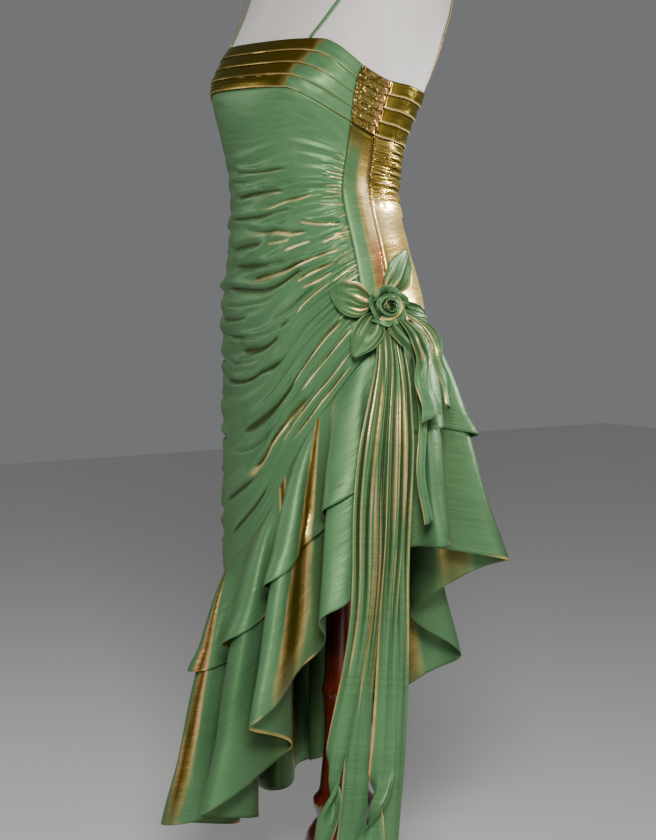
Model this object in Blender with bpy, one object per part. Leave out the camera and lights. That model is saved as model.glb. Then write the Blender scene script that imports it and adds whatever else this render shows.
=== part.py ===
"""Shot-satin evening dress on a limbless dress form and turned stand.

The dress is a ruched sheath with a tucked band, thin straps, two circular
flounces that rise to the left hip, and a fabric rose with leaves and tails.
Metres, +Z up. The wearer faces -Y and the wearer's left is +X. The origin is
on the floor under the stand's column. Angles round the figure are in degrees:
0 is the front, 90 the wearer's left, 180 the back.
"""
import math
from collections import namedtuple

import bmesh
import bpy
from mathutils import Vector

# Driving sizes
CLOTH = 0.0015
EASE = 0.0020
SEAM_GAP = 0.0003
FLOUNCE_GAP = 0.0014
FACE = EASE + CLOTH

# Seams down the sides, as angles
SIDE_FRONT = 68.0
SIDE_BACK_AT_BAND_TOP = 84.5
FORM_BOTTOM = 0.745
NECK_TOP = 1.530
SHOULDER = 1.375
SEAM_TURN = 0.12
LEANING_SEAM_TURN = 0.60

# Sections of the figure: the form's own surface, and the line the skirt hangs on
# height, half_width, front, back, centre_y, squareness
FIGURE = (
    (0.180, 0.158, 0.118, 0.098, -0.034, 2.10),
    (0.500, 0.158, 0.118, 0.098, -0.034, 2.10),
    (0.650, 0.160, 0.115, 0.100, -0.032, 2.10),
    (0.760, 0.166, 0.114, 0.103, -0.030, 2.10),
    (0.844, 0.168, 0.115, 0.106, -0.028, 2.10),
    (0.911, 0.160, 0.114, 0.105, -0.032, 2.10),
    (0.979, 0.143, 0.104, 0.093, -0.038, 2.10),
    (1.057, 0.121, 0.104, 0.087, -0.043, 2.10),
    (1.118, 0.131, 0.127, 0.078, -0.030, 2.20),
    (1.159, 0.142, 0.147, 0.080, -0.019, 2.40),
    (1.198, 0.151, 0.157, 0.091, -0.009, 2.60),
    (1.230, 0.157, 0.147, 0.100, -0.004, 2.45),
    (1.262, 0.160, 0.131, 0.108, 0.000, 2.30),
    (1.290, 0.166, 0.119, 0.111, 0.005, 2.20),
    (1.330, 0.175, 0.104, 0.104, 0.012, 2.10),
    (1.370, 0.173, 0.089, 0.090, 0.018, 2.00),
    (1.400, 0.150, 0.079, 0.078, 0.020, 2.00),
    (1.425, 0.108, 0.071, 0.068, 0.020, 2.00),
    (1.445, 0.075, 0.065, 0.063, 0.016, 2.00),
    (1.470, 0.059, 0.060, 0.060, 0.011, 2.00),
    (1.500, 0.054, 0.057, 0.057, 0.008, 2.00),
    (1.530, 0.053, 0.056, 0.056, 0.006, 2.00),
)

# Edges of the band on either side: angle, height
BAND_TOP = (
    (0, 1.251), (40, 1.250), (50, 1.242), (60, 1.228), (69, 1.215), (85, 1.197), (107, 1.188), (140, 1.182),
    (180, 1.180),
)
BAND_BOTTOM = (
    (0, 1.190), (30, 1.188), (37, 1.183), (50, 1.168), (64, 1.150), (82, 1.129), (92, 1.123), (112, 1.118),
    (140, 1.114), (180, 1.112),
)
# Seam behind the side panels: share of the way down from the band, angle
REAR_SEAM = ((0.0, 82.0), (0.15, 84.5), (0.35, 88.0), (0.70, 86.5), (1.0, 86.0))
BAND_TUCKS = 4
BAND_COLUMNS = (14, 2, 6)
SIDE_TUCKS = 7
TUCK_STAND = 0.0022
TUCK_LOWER_EDGE = 0.12

# Line where the flounces are sewn on, all the way round: angle, height
SEAM_LINE = (
    (-290, 0.870), (-264, 0.893), (-240, 0.897), (-210, 0.855), (-180, 0.742), (-150, 0.655),
    (-120, 0.598), (-90, 0.558), (-60, 0.540), (-34, 0.546), (-8, 0.584), (10, 0.633),
    (28, 0.718), (43, 0.779), (66, 0.850), (90, 0.888), (110, 0.896),
)

# Folds of the ruched panels: share of the way from band to flounce seam at each side seam
Ruche = namedtuple("Ruche", "left right sag stand")
FRONT_RUCHES = (
    Ruche(0.114, 0.104, 0.000, 0.0015),
    Ruche(0.150, 0.137, 0.000, 0.0022),
    Ruche(0.186, 0.171, 0.006, 0.0025),
    Ruche(0.227, 0.205, 0.008, 0.0030),
    Ruche(0.268, 0.240, 0.010, 0.0048),
    Ruche(0.313, 0.277, 0.012, 0.0032),
    Ruche(0.367, 0.316, 0.014, 0.0038),
    Ruche(0.421, 0.356, 0.018, 0.0042),
    Ruche(0.475, 0.394, 0.022, 0.0038),
    Ruche(0.529, 0.431, 0.026, 0.0046),
    Ruche(0.579, 0.472, 0.028, 0.0040),
    Ruche(0.621, 0.512, 0.030, 0.0046),
    Ruche(0.661, 0.555, 0.028, 0.0044),
    Ruche(0.701, 0.609, 0.026, 0.0058),
    Ruche(0.751, 0.670, 0.022, 0.0040),
    Ruche(0.806, 0.734, 0.016, 0.0034),
    Ruche(0.860, 0.802, 0.010, 0.0034),
    Ruche(0.914, 0.872, 0.006, 0.0030),
    Ruche(0.964, 0.940, 0.000, 0.0024),
)
FOLD_AT_SEAM = 0.35
BACK_RUCHES = (
    Ruche(0.060, 0.050, 0.010, 0.0028),
    Ruche(0.110, 0.098, 0.012, 0.0036),
    Ruche(0.160, 0.145, 0.012, 0.0034),
    Ruche(0.215, 0.195, 0.014, 0.0040),
    Ruche(0.270, 0.248, 0.014, 0.0032),
    Ruche(0.330, 0.305, 0.014, 0.0024),
)

# Smooth panels under the arms: name, side, columns, rows
SIDE_PANELS = (("side_panel_left", 1, 4, 14), ("side_panel_right", -1, 2, 24))

# Flutes shared by both flounces: crest angle, mean and extra reach at the lower hem, fall of each tier
Flute = namedtuple("Flute", "angle flare throw upper_fall lower_fall")
FLUTES = (
    Flute(96, 0.036, 0.022, 0.140, 0.285),
    Flute(54, 0.038, 0.026, 0.150, 0.285),
    Flute(31, 0.038, 0.056, 0.165, 0.340),
    Flute(10, 0.030, 0.054, 0.150, 0.372),
    Flute(-27, 0.030, 0.056, 0.138, 0.346),
    Flute(-60, 0.032, 0.052, 0.145, 0.350),
    Flute(-92, 0.032, 0.052, 0.145, 0.360),
    Flute(-122, 0.034, 0.054, 0.150, 0.368),
    Flute(-152, 0.044, 0.054, 0.150, 0.362),
    Flute(-184, 0.058, 0.052, 0.145, 0.350),
    Flute(-220, 0.074, 0.056, 0.138, 0.306),
    Flute(-254, 0.036, 0.024, 0.140, 0.290),
    Flute(-284, 0.034, 0.020, 0.140, 0.285),
)
FLUTE_REACH_AT = 0.33
FLUTE_GROWTH = 0.70
FLUTE_EASE = 0.012
FLUTE_CURL = 0.58
CURL_FULL_AT = 0.10
FLOUNCE_LEFT_FRONT = 78.0
FLOUNCE_RIGHT = -92.0
FLOUNCE_LEFT_BACK = -271.0
LEVEL_NEAR_SEAM = 0.020
TIER_CLEAR = 0.0048
TIER_CLEAR_FULL_AT = 0.032
FLOUNCE_FACE = FACE + 0.0010
TIER_TOP_CLEAR = 0.0012
LOWER_TOP = 0.006
UPPER_ROWS = (0.0, 0.12, 0.32, 0.62, 1.0)
LOWER_ROWS = 4
COLUMNS_PER_FLUTE = 8

# Rose, knot and what hangs from them. Roots are turned from straight down round the knot
ROSE_ANGLE = 78.0
ROSE_HEIGHT = 0.914
KNOT_RADIUS = 0.016
KNOT_OUT = FACE + KNOT_RADIUS - 0.0001
KNOT_CLEAR = 0.0006
ROSE_SEAT = 0.0005
ROSE_TURNS = 2.6
HEART_FOOT = (0.0022, 0.0080)
HEART_LIP = (0.0030, 0.0185)
HEART_RISE = (0.017, 0.012)
HEART_OPENING = 1.4
PETALS = 5
PETAL_OVERLAP = 1.22
PETAL_FOOT = (0.0098, 0.0138)
PETAL_LIP = (0.0198, 0.0274)
PETAL_RISE = 0.0150
PETAL_CROWN = 0.40
PETAL_CORNER = 0.04
PETAL_OPENING = 1.3
TRIM_CLOTH = 0.0012
LEAF_CLOTH = 0.0014
LEAF_ARCH = 0.004
LEAF_OUT = 0.012
LEAF_ROOT_HALF = 0.0018
LEAF_CREASE = 0.10
LEAF_WIDEST_SHIFT = 0.8
LEAF_ROUNDNESS = 0.75
LEAF_BLUNT_TIP = 0.985
HIP_RADIUS = 0.145
Leaf = namedtuple("Leaf", "name root_turn tip_angle tip_height half_width root_lift tip_lift")
LEAVES = (
    Leaf("leaf_up", 154.0, 97.0, 0.984, 0.0180, 0.000, 0.012),
    Leaf("leaf_front_loop", -98.0, 50.0, 0.930, 0.0230, 0.000, -0.004),
    Leaf("leaf_down", -52.0, 60.0, 0.850, 0.0170, 0.006, 0.014),
    Leaf("leaf_back", 91.0, 106.0, 0.898, 0.0090, 0.000, 0.004),
    Leaf("leaf_low", 0.0, 88.0, 0.850, 0.0110, 0.0045, 0.034),
)
Tail = namedtuple("Tail", "name root_turn root_lift mid_angle end_angle end_height "
                          "mid_out end_out mid_width end_width twist")
TAILS = (
    Tail("tail_long_front", -39.0, 0.000, 64.0, 47.0, 0.130, 0.064, 0.070, 0.024, 0.042, 60.0),
    Tail("tail_long_second", -13.0, 0.000, 70.0, 57.0, 0.118, 0.050, 0.046, 0.026, 0.044, -15.0),
    Tail("tail_long_third", 13.0, 0.000, 77.0, 67.0, 0.135, 0.062, 0.060, 0.026, 0.042, 15.0),
    Tail("tail_long_back", 39.0, 0.000, 83.5, 78.0, 0.122, 0.048, 0.042, 0.024, 0.040, -20.0),
    Tail("tail_short_narrow", 63.0, 0.000, 89.0, 91.0, 0.640, 0.046, 0.062, 0.012, 0.013, 10.0),
    Tail("tail_short_pointed", 54.0, 0.0048, 86.5, 89.0, 0.775, 0.060, 0.068, 0.020, 0.028, 15.0),
    Tail("tail_short_rolled", 84.0, 0.003, 95.0, 100.0, 0.785, 0.056, 0.060, 0.020, 0.028, -20.0),
)
# Bends of a tail: share of its fall, then shares of the way in angle, distance out and width
TAIL_UPPER_BENDS = (
    (0.00, 0.00, 0.00, 0.00), (0.06, 0.18, 0.30, 0.00), (0.22, 0.70, 0.85, 0.60), (0.50, 1.00, 1.00, 1.00),
)
TAIL_LOWER_BENDS = ((0.78, 0.50, 0.60, 0.50), (1.00, 1.00, 1.00, 1.00))
TAIL_PLEAT = 0.0022
TAIL_PLEAT_AT_TOP = 0.25
TAIL_OPENS_BY = 0.20
TAIL_END_SLANT = 0.5
TAIL_COLUMNS = 4
TAIL_TOP_WIDTH = 0.0062
TAIL_TWIST_FROM = 0.45
SHORT_TAIL = 0.30
SHORT_TAIL_ROWS = 5
LONG_TAIL_ROWS = 13
LOWEST_SECTION = 0.18

# Straps: distances from the middle at the band in front, on the shoulder and at the back band
STRAP_WIDTH = 0.005
STRAP_THICK = 0.0012
STRAP_LIFT = 0.0018
STRAP_FOOT_GAP = 0.0015
STRAP_STEPS = 10
STRAP_FRONT_X = 0.094
STRAP_TOP_X = 0.148
STRAP_BACK_X = 0.090
STRAP_BRIDGE = 0.005

# Turned stand: height and radius
COLUMN_PROFILE = (
    (0.0453, 0.000), (0.0453, 0.082), (0.055, 0.086), (0.068, 0.080), (0.088, 0.062), (0.120, 0.054),
    (0.160, 0.056), (0.186, 0.050), (0.204, 0.038), (0.214, 0.039), (0.222, 0.043), (0.232, 0.042),
    (0.242, 0.035), (0.262, 0.032), (0.320, 0.027), (0.368, 0.0280), (0.382, 0.0310), (0.396, 0.0280),
    (0.433, 0.0265), (0.600, 0.0250), (0.722, 0.0255), (0.728, 0.036), (0.7447, 0.036), (0.7447, 0.000),
)
BASE_PROFILE = (
    (0.000, 0.000), (0.000, 0.186), (0.006, 0.192), (0.022, 0.192), (0.028, 0.184), (0.033, 0.160),
    (0.040, 0.120), (0.045, 0.098), (0.045, 0.000),
)
TURNED_STEPS = 20

# Rings of the form between its rounded ends
FORM_ROUNDING = 0.012
FORM_STEPS = 24
BODY_RINGS = 20
SHOULDER_RINGS = 9

GREEN = (0.085, 0.205, 0.095)
LINEN = (0.72, 0.70, 0.66)
MAHOGANY = (0.110, 0.012, 0.006)


def clear_scene():
    for thing in list(bpy.data.objects):
        bpy.data.objects.remove(thing, do_unlink=True)


def material(name, colour, roughness, metallic=0.0):
    finish = bpy.data.materials.get(name) or bpy.data.materials.new(name)
    finish.use_nodes = True
    shader = finish.node_tree.nodes["Principled BSDF"]
    shader.inputs["Base Color"].default_value = (*colour, 1.0)
    shader.inputs["Roughness"].default_value = roughness
    shader.inputs["Metallic"].default_value = metallic
    return finish


def satin():
    return material("shot_satin", GREEN, 0.35, 0.2)


def add_object(name, shape, finish, smooth_angle=50.0):
    bmesh.ops.recalc_face_normals(shape, faces=shape.faces[:])
    if shape.calc_volume(signed=True) < 0:
        bmesh.ops.reverse_faces(shape, faces=shape.faces[:])
    data = bpy.data.meshes.new(name)
    shape.to_mesh(data)
    shape.free()
    data.shade_smooth()
    data.set_sharp_from_angle(angle=math.radians(smooth_angle))
    data.materials.append(finish)
    thing = bpy.data.objects.new(name, data)
    bpy.context.collection.objects.link(thing)
    return thing


def signed_power(value, power):
    return math.copysign(abs(value) ** power, value)


def lookup(table, key):
    """Smooth curve through a table whose first column rises; returns the other columns."""
    last = len(table) - 1
    place = 0
    while place < last - 1 and key > table[place + 1][0]:
        place += 1
    before, start = table[max(place - 1, 0)], table[place]
    end, after = table[place + 1], table[min(place + 2, last)]
    span = end[0] - start[0]
    part = min(max((key - start[0]) / span, 0.0), 1.0)
    square, cube = part * part, part ** 3
    values = []
    for column in range(1, len(start)):
        slope_in = (end[column] - before[column]) / (end[0] - before[0]) * span
        slope_out = (after[column] - start[column]) / (after[0] - start[0]) * span
        values.append((2 * cube - 3 * square + 1) * start[column] + (cube - 2 * square + part) * slope_in
                      + (3 * square - 2 * cube) * end[column] + (cube - square) * slope_out)
    return values


def figure_frame(angle, height):
    """Point on the figure's surface and the level direction that points away from it."""
    half_width, front, back, centre_y, squareness = lookup(FIGURE, height)
    turn = math.radians(angle)
    ahead = math.cos(turn)
    depth = front if ahead > 0 else back
    power = squareness if ahead > 0 else 2.0
    x = half_width * signed_power(math.sin(turn), 2 / power)
    y = -depth * signed_power(ahead, 2 / power)
    away = Vector((signed_power(x / half_width, power - 1) / half_width,
                   signed_power(y / depth, power - 1) / depth, 0.0))
    return Vector((x, centre_y + y, height)), away.normalized()


def figure_point(angle, height, out):
    point, away = figure_frame(angle, height)
    return point + away * out


def band_top(angle):
    return lookup(BAND_TOP, abs((angle + 180) % 360 - 180))[0]


def band_bottom(angle):
    return lookup(BAND_BOTTOM, abs((angle + 180) % 360 - 180))[0]


def seam_line(angle):
    while angle > 96:
        angle -= 360
    while angle < -280:
        angle += 360
    return lookup(SEAM_LINE, angle)[0]


def blend(start, end, part):
    return start + (end - start) * part


def cloth(name, columns, rows, place, finish=None, smooth_angle=50.0):
    """Sheet of cloth with a real thickness: a flat grid, doubled by an extrusion, then bent.

    place(across, down, inner) gives the point for shares 0 to 1 of the sheet.
    """
    shape = bmesh.new()
    bmesh.ops.create_grid(shape, x_segments=columns, y_segments=rows, size=0.5)
    doubled = bmesh.ops.extrude_face_region(shape, geom=shape.faces[:])
    lining = {item for item in doubled["geom"] if isinstance(item, bmesh.types.BMVert)}
    for vert in shape.verts:
        vert.co = place(vert.co.x + 0.5, 0.5 - vert.co.y, vert in lining)
    return add_object(name, shape, finish or satin(), smooth_angle)


def form_torso():
    """Smooth limbless torso: a flat grid wrapped into a tube through the figure's sections."""
    rounding = FORM_ROUNDING
    low, high = FORM_BOTTOM + rounding, NECK_TOP - rounding
    rings = [(FORM_BOTTOM, -rounding), (FORM_BOTTOM + rounding * 0.4, -rounding * 0.25), (low, -rounding * 0.08)]
    rings += [(blend(low, SHOULDER, step / BODY_RINGS), 0.0) for step in range(1, BODY_RINGS)]
    rings += [(blend(SHOULDER, high, step / SHOULDER_RINGS), 0.0) for step in range(SHOULDER_RINGS)]
    rings += [(NECK_TOP - rounding * 0.3, -rounding * 0.2), (NECK_TOP, -rounding)]
    last = len(rings) - 1
    shape = bmesh.new()
    bmesh.ops.create_grid(shape, x_segments=FORM_STEPS, y_segments=last, size=0.5)
    for vert in shape.verts:
        height, out = rings[round((vert.co.y + 0.5) * last)]
        vert.co = figure_point(360.0 * vert.co.x, height, out)
    bmesh.ops.remove_doubles(shape, verts=shape.verts[:], dist=1e-6)
    bmesh.ops.holes_fill(shape, edges=shape.edges[:], sides=0)
    return add_object("form_torso", shape, material("form_cloth", LINEN, 0.85), 60.0)


def turned(name, profile, finish):
    """Wooden piece turned round the column's axis."""
    shape = bmesh.new()
    line = [shape.verts.new((radius, 0.0, height)) for height, radius in profile]
    edges = [shape.edges.new(pair) for pair in zip(line, line[1:])]
    bmesh.ops.spin(shape, geom=line + edges, cent=(0, 0, 0), axis=(0, 0, 1), angle=math.tau,
                   steps=TURNED_STEPS, use_merge=True)
    bmesh.ops.remove_doubles(shape, verts=shape.verts[:], dist=1e-6)
    return add_object(name, shape, finish, 35.0)


def stand():
    wood = material("turned_mahogany", MAHOGANY, 0.22)
    turned("stand_column", COLUMN_PROFILE, wood)
    turned("stand_base", BASE_PROFILE, wood)


def rear_seam(share):
    """Angle of the seam behind a side panel, a share of the way from the band to the flounces."""
    return lookup(REAR_SEAM, share)[0]


def band_seam(side, share):
    """Angle of the leaning seam behind the side piece of the band."""
    return side * blend(SIDE_BACK_AT_BAND_TOP, rear_seam(0.0), share)


def tucked_sheet(name, columns, tucks, edges):
    """Panel of the band with clapboard tucks; edges(share) gives the angles of its two sides."""
    rows = tucks * 2

    def place(across, down, inner):
        row = round(down * rows)
        tuck, under = divmod(row, 2)
        share = (tuck + (1.0 - TUCK_LOWER_EDGE) * under) / tucks
        face = TUCK_STAND if under else 0.0
        if row == rows:
            face = TUCK_STAND * 0.4
        start, end = edges(share)
        angle = blend(start, end, across)
        height = blend(band_top(angle), band_bottom(angle) + SEAM_GAP, share)
        return figure_point(angle, height, EASE if inner else FACE + face)

    return cloth(name, columns, rows, place, smooth_angle=25.0)


def band():
    front = SIDE_FRONT - SEAM_TURN
    front_columns, side_columns, back_columns = BAND_COLUMNS
    tucked_sheet("band_front", front_columns, BAND_TUCKS, lambda share: (-front, front))
    for name, side in (("left", 1), ("right", -1)):
        tucked_sheet("band_side_" + name, side_columns, SIDE_TUCKS, lambda share: (
            side * (SIDE_FRONT + SEAM_TURN), band_seam(side, share) - side * SEAM_TURN))
        tucked_sheet("band_back_" + name, back_columns, BAND_TUCKS, lambda share: (
            band_seam(side, share) + side * LEANING_SEAM_TURN, side * (180.0 - SEAM_TURN)))


def fold_rows(ruches, plain_rows):
    """Rows of a ruched panel: a valley then a ridge for each fold, and plain rows below them."""
    before = Ruche(0.0, 0.0, 0.0, 0.0)
    rows = [before]
    for fold in ruches:
        rows.append(Ruche((before.left + fold.left) / 2, (before.right + fold.right) / 2, fold.sag, 0.0))
        rows.append(fold)
        before = fold
    for number in range(1, plain_rows + 1):
        part = number / plain_rows
        rows.append(Ruche(blend(before.left, 1.0, part), blend(before.right, 1.0, part), 0.0, 0.0))
    return rows


def ruched_sheet(name, start, end, columns, rows, gather):
    """Panel between two seams whose folds run across it and sag between their ends.

    start(share) is the angle of its first seam. gather is how fast the folds rise to their full
    height away from the seams.
    """
    last = len(rows) - 1

    def place(across, down, inner):
        fold = rows[round(down * last)]
        share = blend(fold.left, fold.right, across) + fold.sag * 4 * across * (1 - across)
        angle = blend(start(share), end, across)
        height = blend(band_bottom(angle), seam_line(angle), share)
        edge = min(across, 1 - across) * gather
        out = fold.stand * min(1.0, FOLD_AT_SEAM + edge)
        return figure_point(angle, height, (EASE if inner else FACE) + out)

    return cloth(name, columns, last, place, smooth_angle=60.0)


def side_sheet(name, side, columns, rows):
    def place(across, down, inner):
        angle = side * blend(SIDE_FRONT + SEAM_TURN, rear_seam(down) - SEAM_TURN, across)
        height = blend(band_bottom(angle), seam_line(angle), down)
        return figure_point(angle, height, EASE if inner else FACE)

    return cloth(name, columns, rows, place)


def sheath():
    front = SIDE_FRONT - SEAM_TURN
    end = 180.0 - SEAM_TURN
    for name, side, columns, rows in SIDE_PANELS:
        side_sheet(name, side, columns, rows)
    for name, first, last, columns, ruches, plain_rows, gather in (
            ("front_panel", lambda share: front, -front, 14, FRONT_RUCHES, 1, 6.0),
            ("back_panel_left", lambda share: rear_seam(share) + SEAM_TURN, end, 11, BACK_RUCHES, 7, 12.0),
            ("back_panel_right", lambda share: -rear_seam(share) - SEAM_TURN, -end, 10, BACK_RUCHES, 9, 12.0)):
        ruched_sheet(name, first, last, columns, fold_rows(ruches, plain_rows), gather)


def flute_values(phase):
    """The row of FLUTES at a phase, which counts flutes from the first crest."""
    place = min(max(phase, 0.0), len(FLUTES) - 1.001)
    number = int(place)
    part = place - number
    ease = part * part * (3 - 2 * part)
    here, there = FLUTES[number], FLUTES[number + 1]
    eased = Flute(*(blend(one, other, ease) for one, other in zip(here, there)))
    return eased._replace(angle=blend(here.angle, there.angle, part))


def phase_of(angle):
    """Where an angle falls, counted in flutes from the first crest."""
    number = 0
    while FLUTES[number + 1].angle > angle:
        number += 1
    here, there = FLUTES[number].angle, FLUTES[number + 1].angle
    return number + (here - angle) / (here - there)


def flounce_surface(phase, fall):
    """Point on the fluted cloth, a fall below its seam."""
    flute = flute_values(phase)
    turn = math.tau * phase
    start = FLUTE_EASE ** FLUTE_GROWTH
    full = (FLUTE_REACH_AT + FLUTE_EASE) ** FLUTE_GROWTH - start
    reach = ((fall + FLUTE_EASE) ** FLUTE_GROWTH - start) / full
    curl = FLUTE_CURL * min(1.0, fall / CURL_FULL_AT)
    curled = flute_values(phase + curl * math.sin(2 * turn) / math.tau)
    height = seam_line(flute.angle) - FLOUNCE_GAP - fall
    out = FLOUNCE_FACE + reach * (flute.flare + flute.throw * math.cos(turn))
    return figure_point(curled.angle, height, out)


def flounce_normal(phase, fall):
    """Direction out of the fluted cloth, level at its seam."""
    step, drop = 0.02, 0.004
    along = flounce_surface(phase + step, fall) - flounce_surface(phase - step, fall)
    down = flounce_surface(phase, fall + drop) - flounce_surface(phase, max(fall - drop, 0.0))
    true = along.cross(down).normalized()
    angle = flute_values(phase).angle
    level = figure_frame(angle, seam_line(angle))[1]
    share = min(1.0, fall / LEVEL_NEAR_SEAM)
    return (level * (1 - share) + true * share).normalized()


def flounce(name, start, end, lower):
    """One cut piece of a circular flounce; the lower tier hangs just inside the upper one."""
    first, last = phase_of(start), phase_of(end)
    columns = round((last - first) * COLUMNS_PER_FLUTE)
    top = LOWER_TOP if lower else 0.0
    upper_rows = len(UPPER_ROWS) - 1
    rows = upper_rows + (LOWER_ROWS if lower else 0)

    def place(across, down, inner):
        phase = blend(first, last, across)
        flute = flute_values(phase)
        row = round(down * rows)
        if row <= upper_rows:
            fall = blend(top, flute.upper_fall, UPPER_ROWS[row])
        else:
            fall = blend(flute.upper_fall, flute.lower_fall, (row - upper_rows) / LOWER_ROWS)
        normal = flounce_normal(phase, fall)
        inset = 0.0
        if lower:
            spread = min(1.0, (fall - top) / TIER_CLEAR_FULL_AT)
            inset = blend(CLOTH + TIER_TOP_CLEAR, TIER_CLEAR, spread)
        if inner:
            inset += CLOTH
        return flounce_surface(phase, fall) - normal * inset

    return cloth(name, columns, rows, place, smooth_angle=60.0)


def flounces():
    for tier, lower in (("upper", False), ("lower", True)):
        flounce("flounce_%s_front" % tier, FLOUNCE_LEFT_FRONT, FLOUNCE_RIGHT + SEAM_TURN, lower)
        flounce("flounce_%s_back" % tier, FLOUNCE_RIGHT - SEAM_TURN, FLOUNCE_LEFT_BACK, lower)


def knot_frame():
    """Centre of the gathered knot and its away, side and up directions; side points to the back."""
    point, away = figure_frame(ROSE_ANGLE, ROSE_HEIGHT)
    side = Vector((-away.y, away.x, 0.0))
    centre = point + away * KNOT_OUT
    return centre, away, side, Vector((0, 0, 1))


def knot():
    centre, _, _, _ = knot_frame()
    shape = bmesh.new()
    bmesh.ops.create_uvsphere(shape, u_segments=16, v_segments=10, radius=KNOT_RADIUS)
    bmesh.ops.translate(shape, verts=shape.verts[:], vec=centre)
    return add_object("gathered_knot", shape, satin(), 60.0)


def rose_point(radius, turn, rise):
    """Place over the knot: radius and turn round its axis, rise above its rounded top."""
    centre, away, side, up = knot_frame()
    dome = math.sqrt(max(KNOT_RADIUS ** 2 - min(radius, KNOT_RADIUS * 0.95) ** 2, 0.0))
    return (centre + away * (dome + rise) + (side * math.sin(turn) + up * math.cos(turn)) * radius)


def rose():
    def heart(across, down, inner):
        turn = math.tau * ROSE_TURNS * across
        height = 1 - down
        radius = blend(blend(*HEART_FOOT, across), blend(*HEART_LIP, across), height ** HEART_OPENING)
        if inner:
            radius -= TRIM_CLOTH
        return rose_point(radius, turn, ROSE_SEAT + height * blend(*HEART_RISE, across))

    cloth("rose_heart", 26, 3, heart, smooth_angle=60.0)
    for number in range(PETALS):
        petal(number)


def petal(number):
    """Outer petal of the rose; each starts under the end of the one before it."""
    width = math.tau / PETALS * PETAL_OVERLAP
    start = math.tau / PETALS * number

    def place(across, down, inner):
        height = 1 - down
        turn = start + width * across
        crown = math.sin(math.pi * min(max(across, PETAL_CORNER), 1 - PETAL_CORNER)) ** 0.5
        radius = blend(blend(*PETAL_FOOT, across), blend(*PETAL_LIP, across), height ** PETAL_OPENING)
        if inner:
            radius -= TRIM_CLOTH
        rise = PETAL_RISE * (1 - PETAL_CROWN * (1 - crown))
        return rose_point(radius, turn, ROSE_SEAT + height * rise)

    cloth("rose_petal_%d" % (number + 1), 6, 2, place, smooth_angle=60.0)


def hanging_point(sideways, height, out):
    """Place near the hip: arc length from the rose, height, and distance out from the figure."""
    angle = ROSE_ANGLE + math.degrees(sideways / HIP_RADIUS)
    return figure_point(angle, height, out)


def root_of(turn, lift):
    """Arc offset, height and distance out of a root on the knot, turned from straight down."""
    reach = math.sqrt((KNOT_RADIUS + KNOT_CLEAR) ** 2 - lift ** 2)
    sideways = reach * math.sin(math.radians(turn))
    height = ROSE_HEIGHT - reach * math.cos(math.radians(turn))
    return sideways, height, KNOT_OUT + lift


def root_point(turn, lift, spread):
    """Point on the knot's surface at a root, spread along the edge that is sewn there."""
    centre, away, side, up = knot_frame()
    reach = math.sqrt((KNOT_RADIUS + KNOT_CLEAR) ** 2 - lift ** 2)
    lean = math.radians(turn)
    outward = side * math.sin(lean) - up * math.cos(lean)
    edge = side * math.cos(lean) + up * math.sin(lean)
    return centre + outward * reach + away * lift + edge * spread


def leaf(row):
    """Pointed leaf of doubled cloth with a crease down its middle."""
    root_side, root_height, root_out = root_of(row.root_turn, row.root_lift)
    tip_side = math.radians(row.tip_angle - ROSE_ANGLE) * HIP_RADIUS
    tip_out = FACE + LEAF_OUT + row.tip_lift
    length = math.hypot(tip_side - root_side, row.tip_height - root_height)
    along_side = (tip_side - root_side) / length
    along_up = (row.tip_height - root_height) / length

    def place(across, down, inner):
        if down == 0.0:
            return root_point(row.root_turn, row.root_lift - (LEAF_CLOTH if inner else 0.0),
                              LEAF_ROOT_HALF * (across * 2 - 1))
        fullness = math.sin(math.pi * min(down ** LEAF_WIDEST_SHIFT, LEAF_BLUNT_TIP)) ** LEAF_ROUNDNESS
        offset = (across * 2 - 1) * max(row.half_width * fullness, LEAF_ROOT_HALF)
        crease = LEAF_CREASE * row.half_width * (1 - abs(across * 2 - 1)) * fullness
        lift = blend(root_out, tip_out, down) + math.sin(math.pi * down) * LEAF_ARCH
        sideways = root_side + along_side * length * down - along_up * offset
        height = root_height + along_up * length * down + along_side * offset
        return hanging_point(sideways, height, lift - crease - (LEAF_CLOTH if inner else 0.0))

    return cloth(row.name, 4, 6, place, smooth_angle=60.0)


def tail_line(row):
    """Share of the fall, angle, distance out and width along a tail, and its root's height."""
    root_side, root_height, root_out = root_of(row.root_turn, row.root_lift)
    root_angle = ROSE_ANGLE + math.degrees(root_side / HIP_RADIUS)
    root = (root_angle, root_out, TAIL_TOP_WIDTH)
    middle = (row.mid_angle, row.mid_out, row.mid_width)
    end = (row.end_angle, row.end_out, row.end_width)
    line = []
    for bends, first, last in ((TAIL_UPPER_BENDS, root, middle), (TAIL_LOWER_BENDS, middle, end)):
        for at, *shares in bends:
            line.append((at, *map(blend, first, last, shares)))
    return line, root_height


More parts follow.
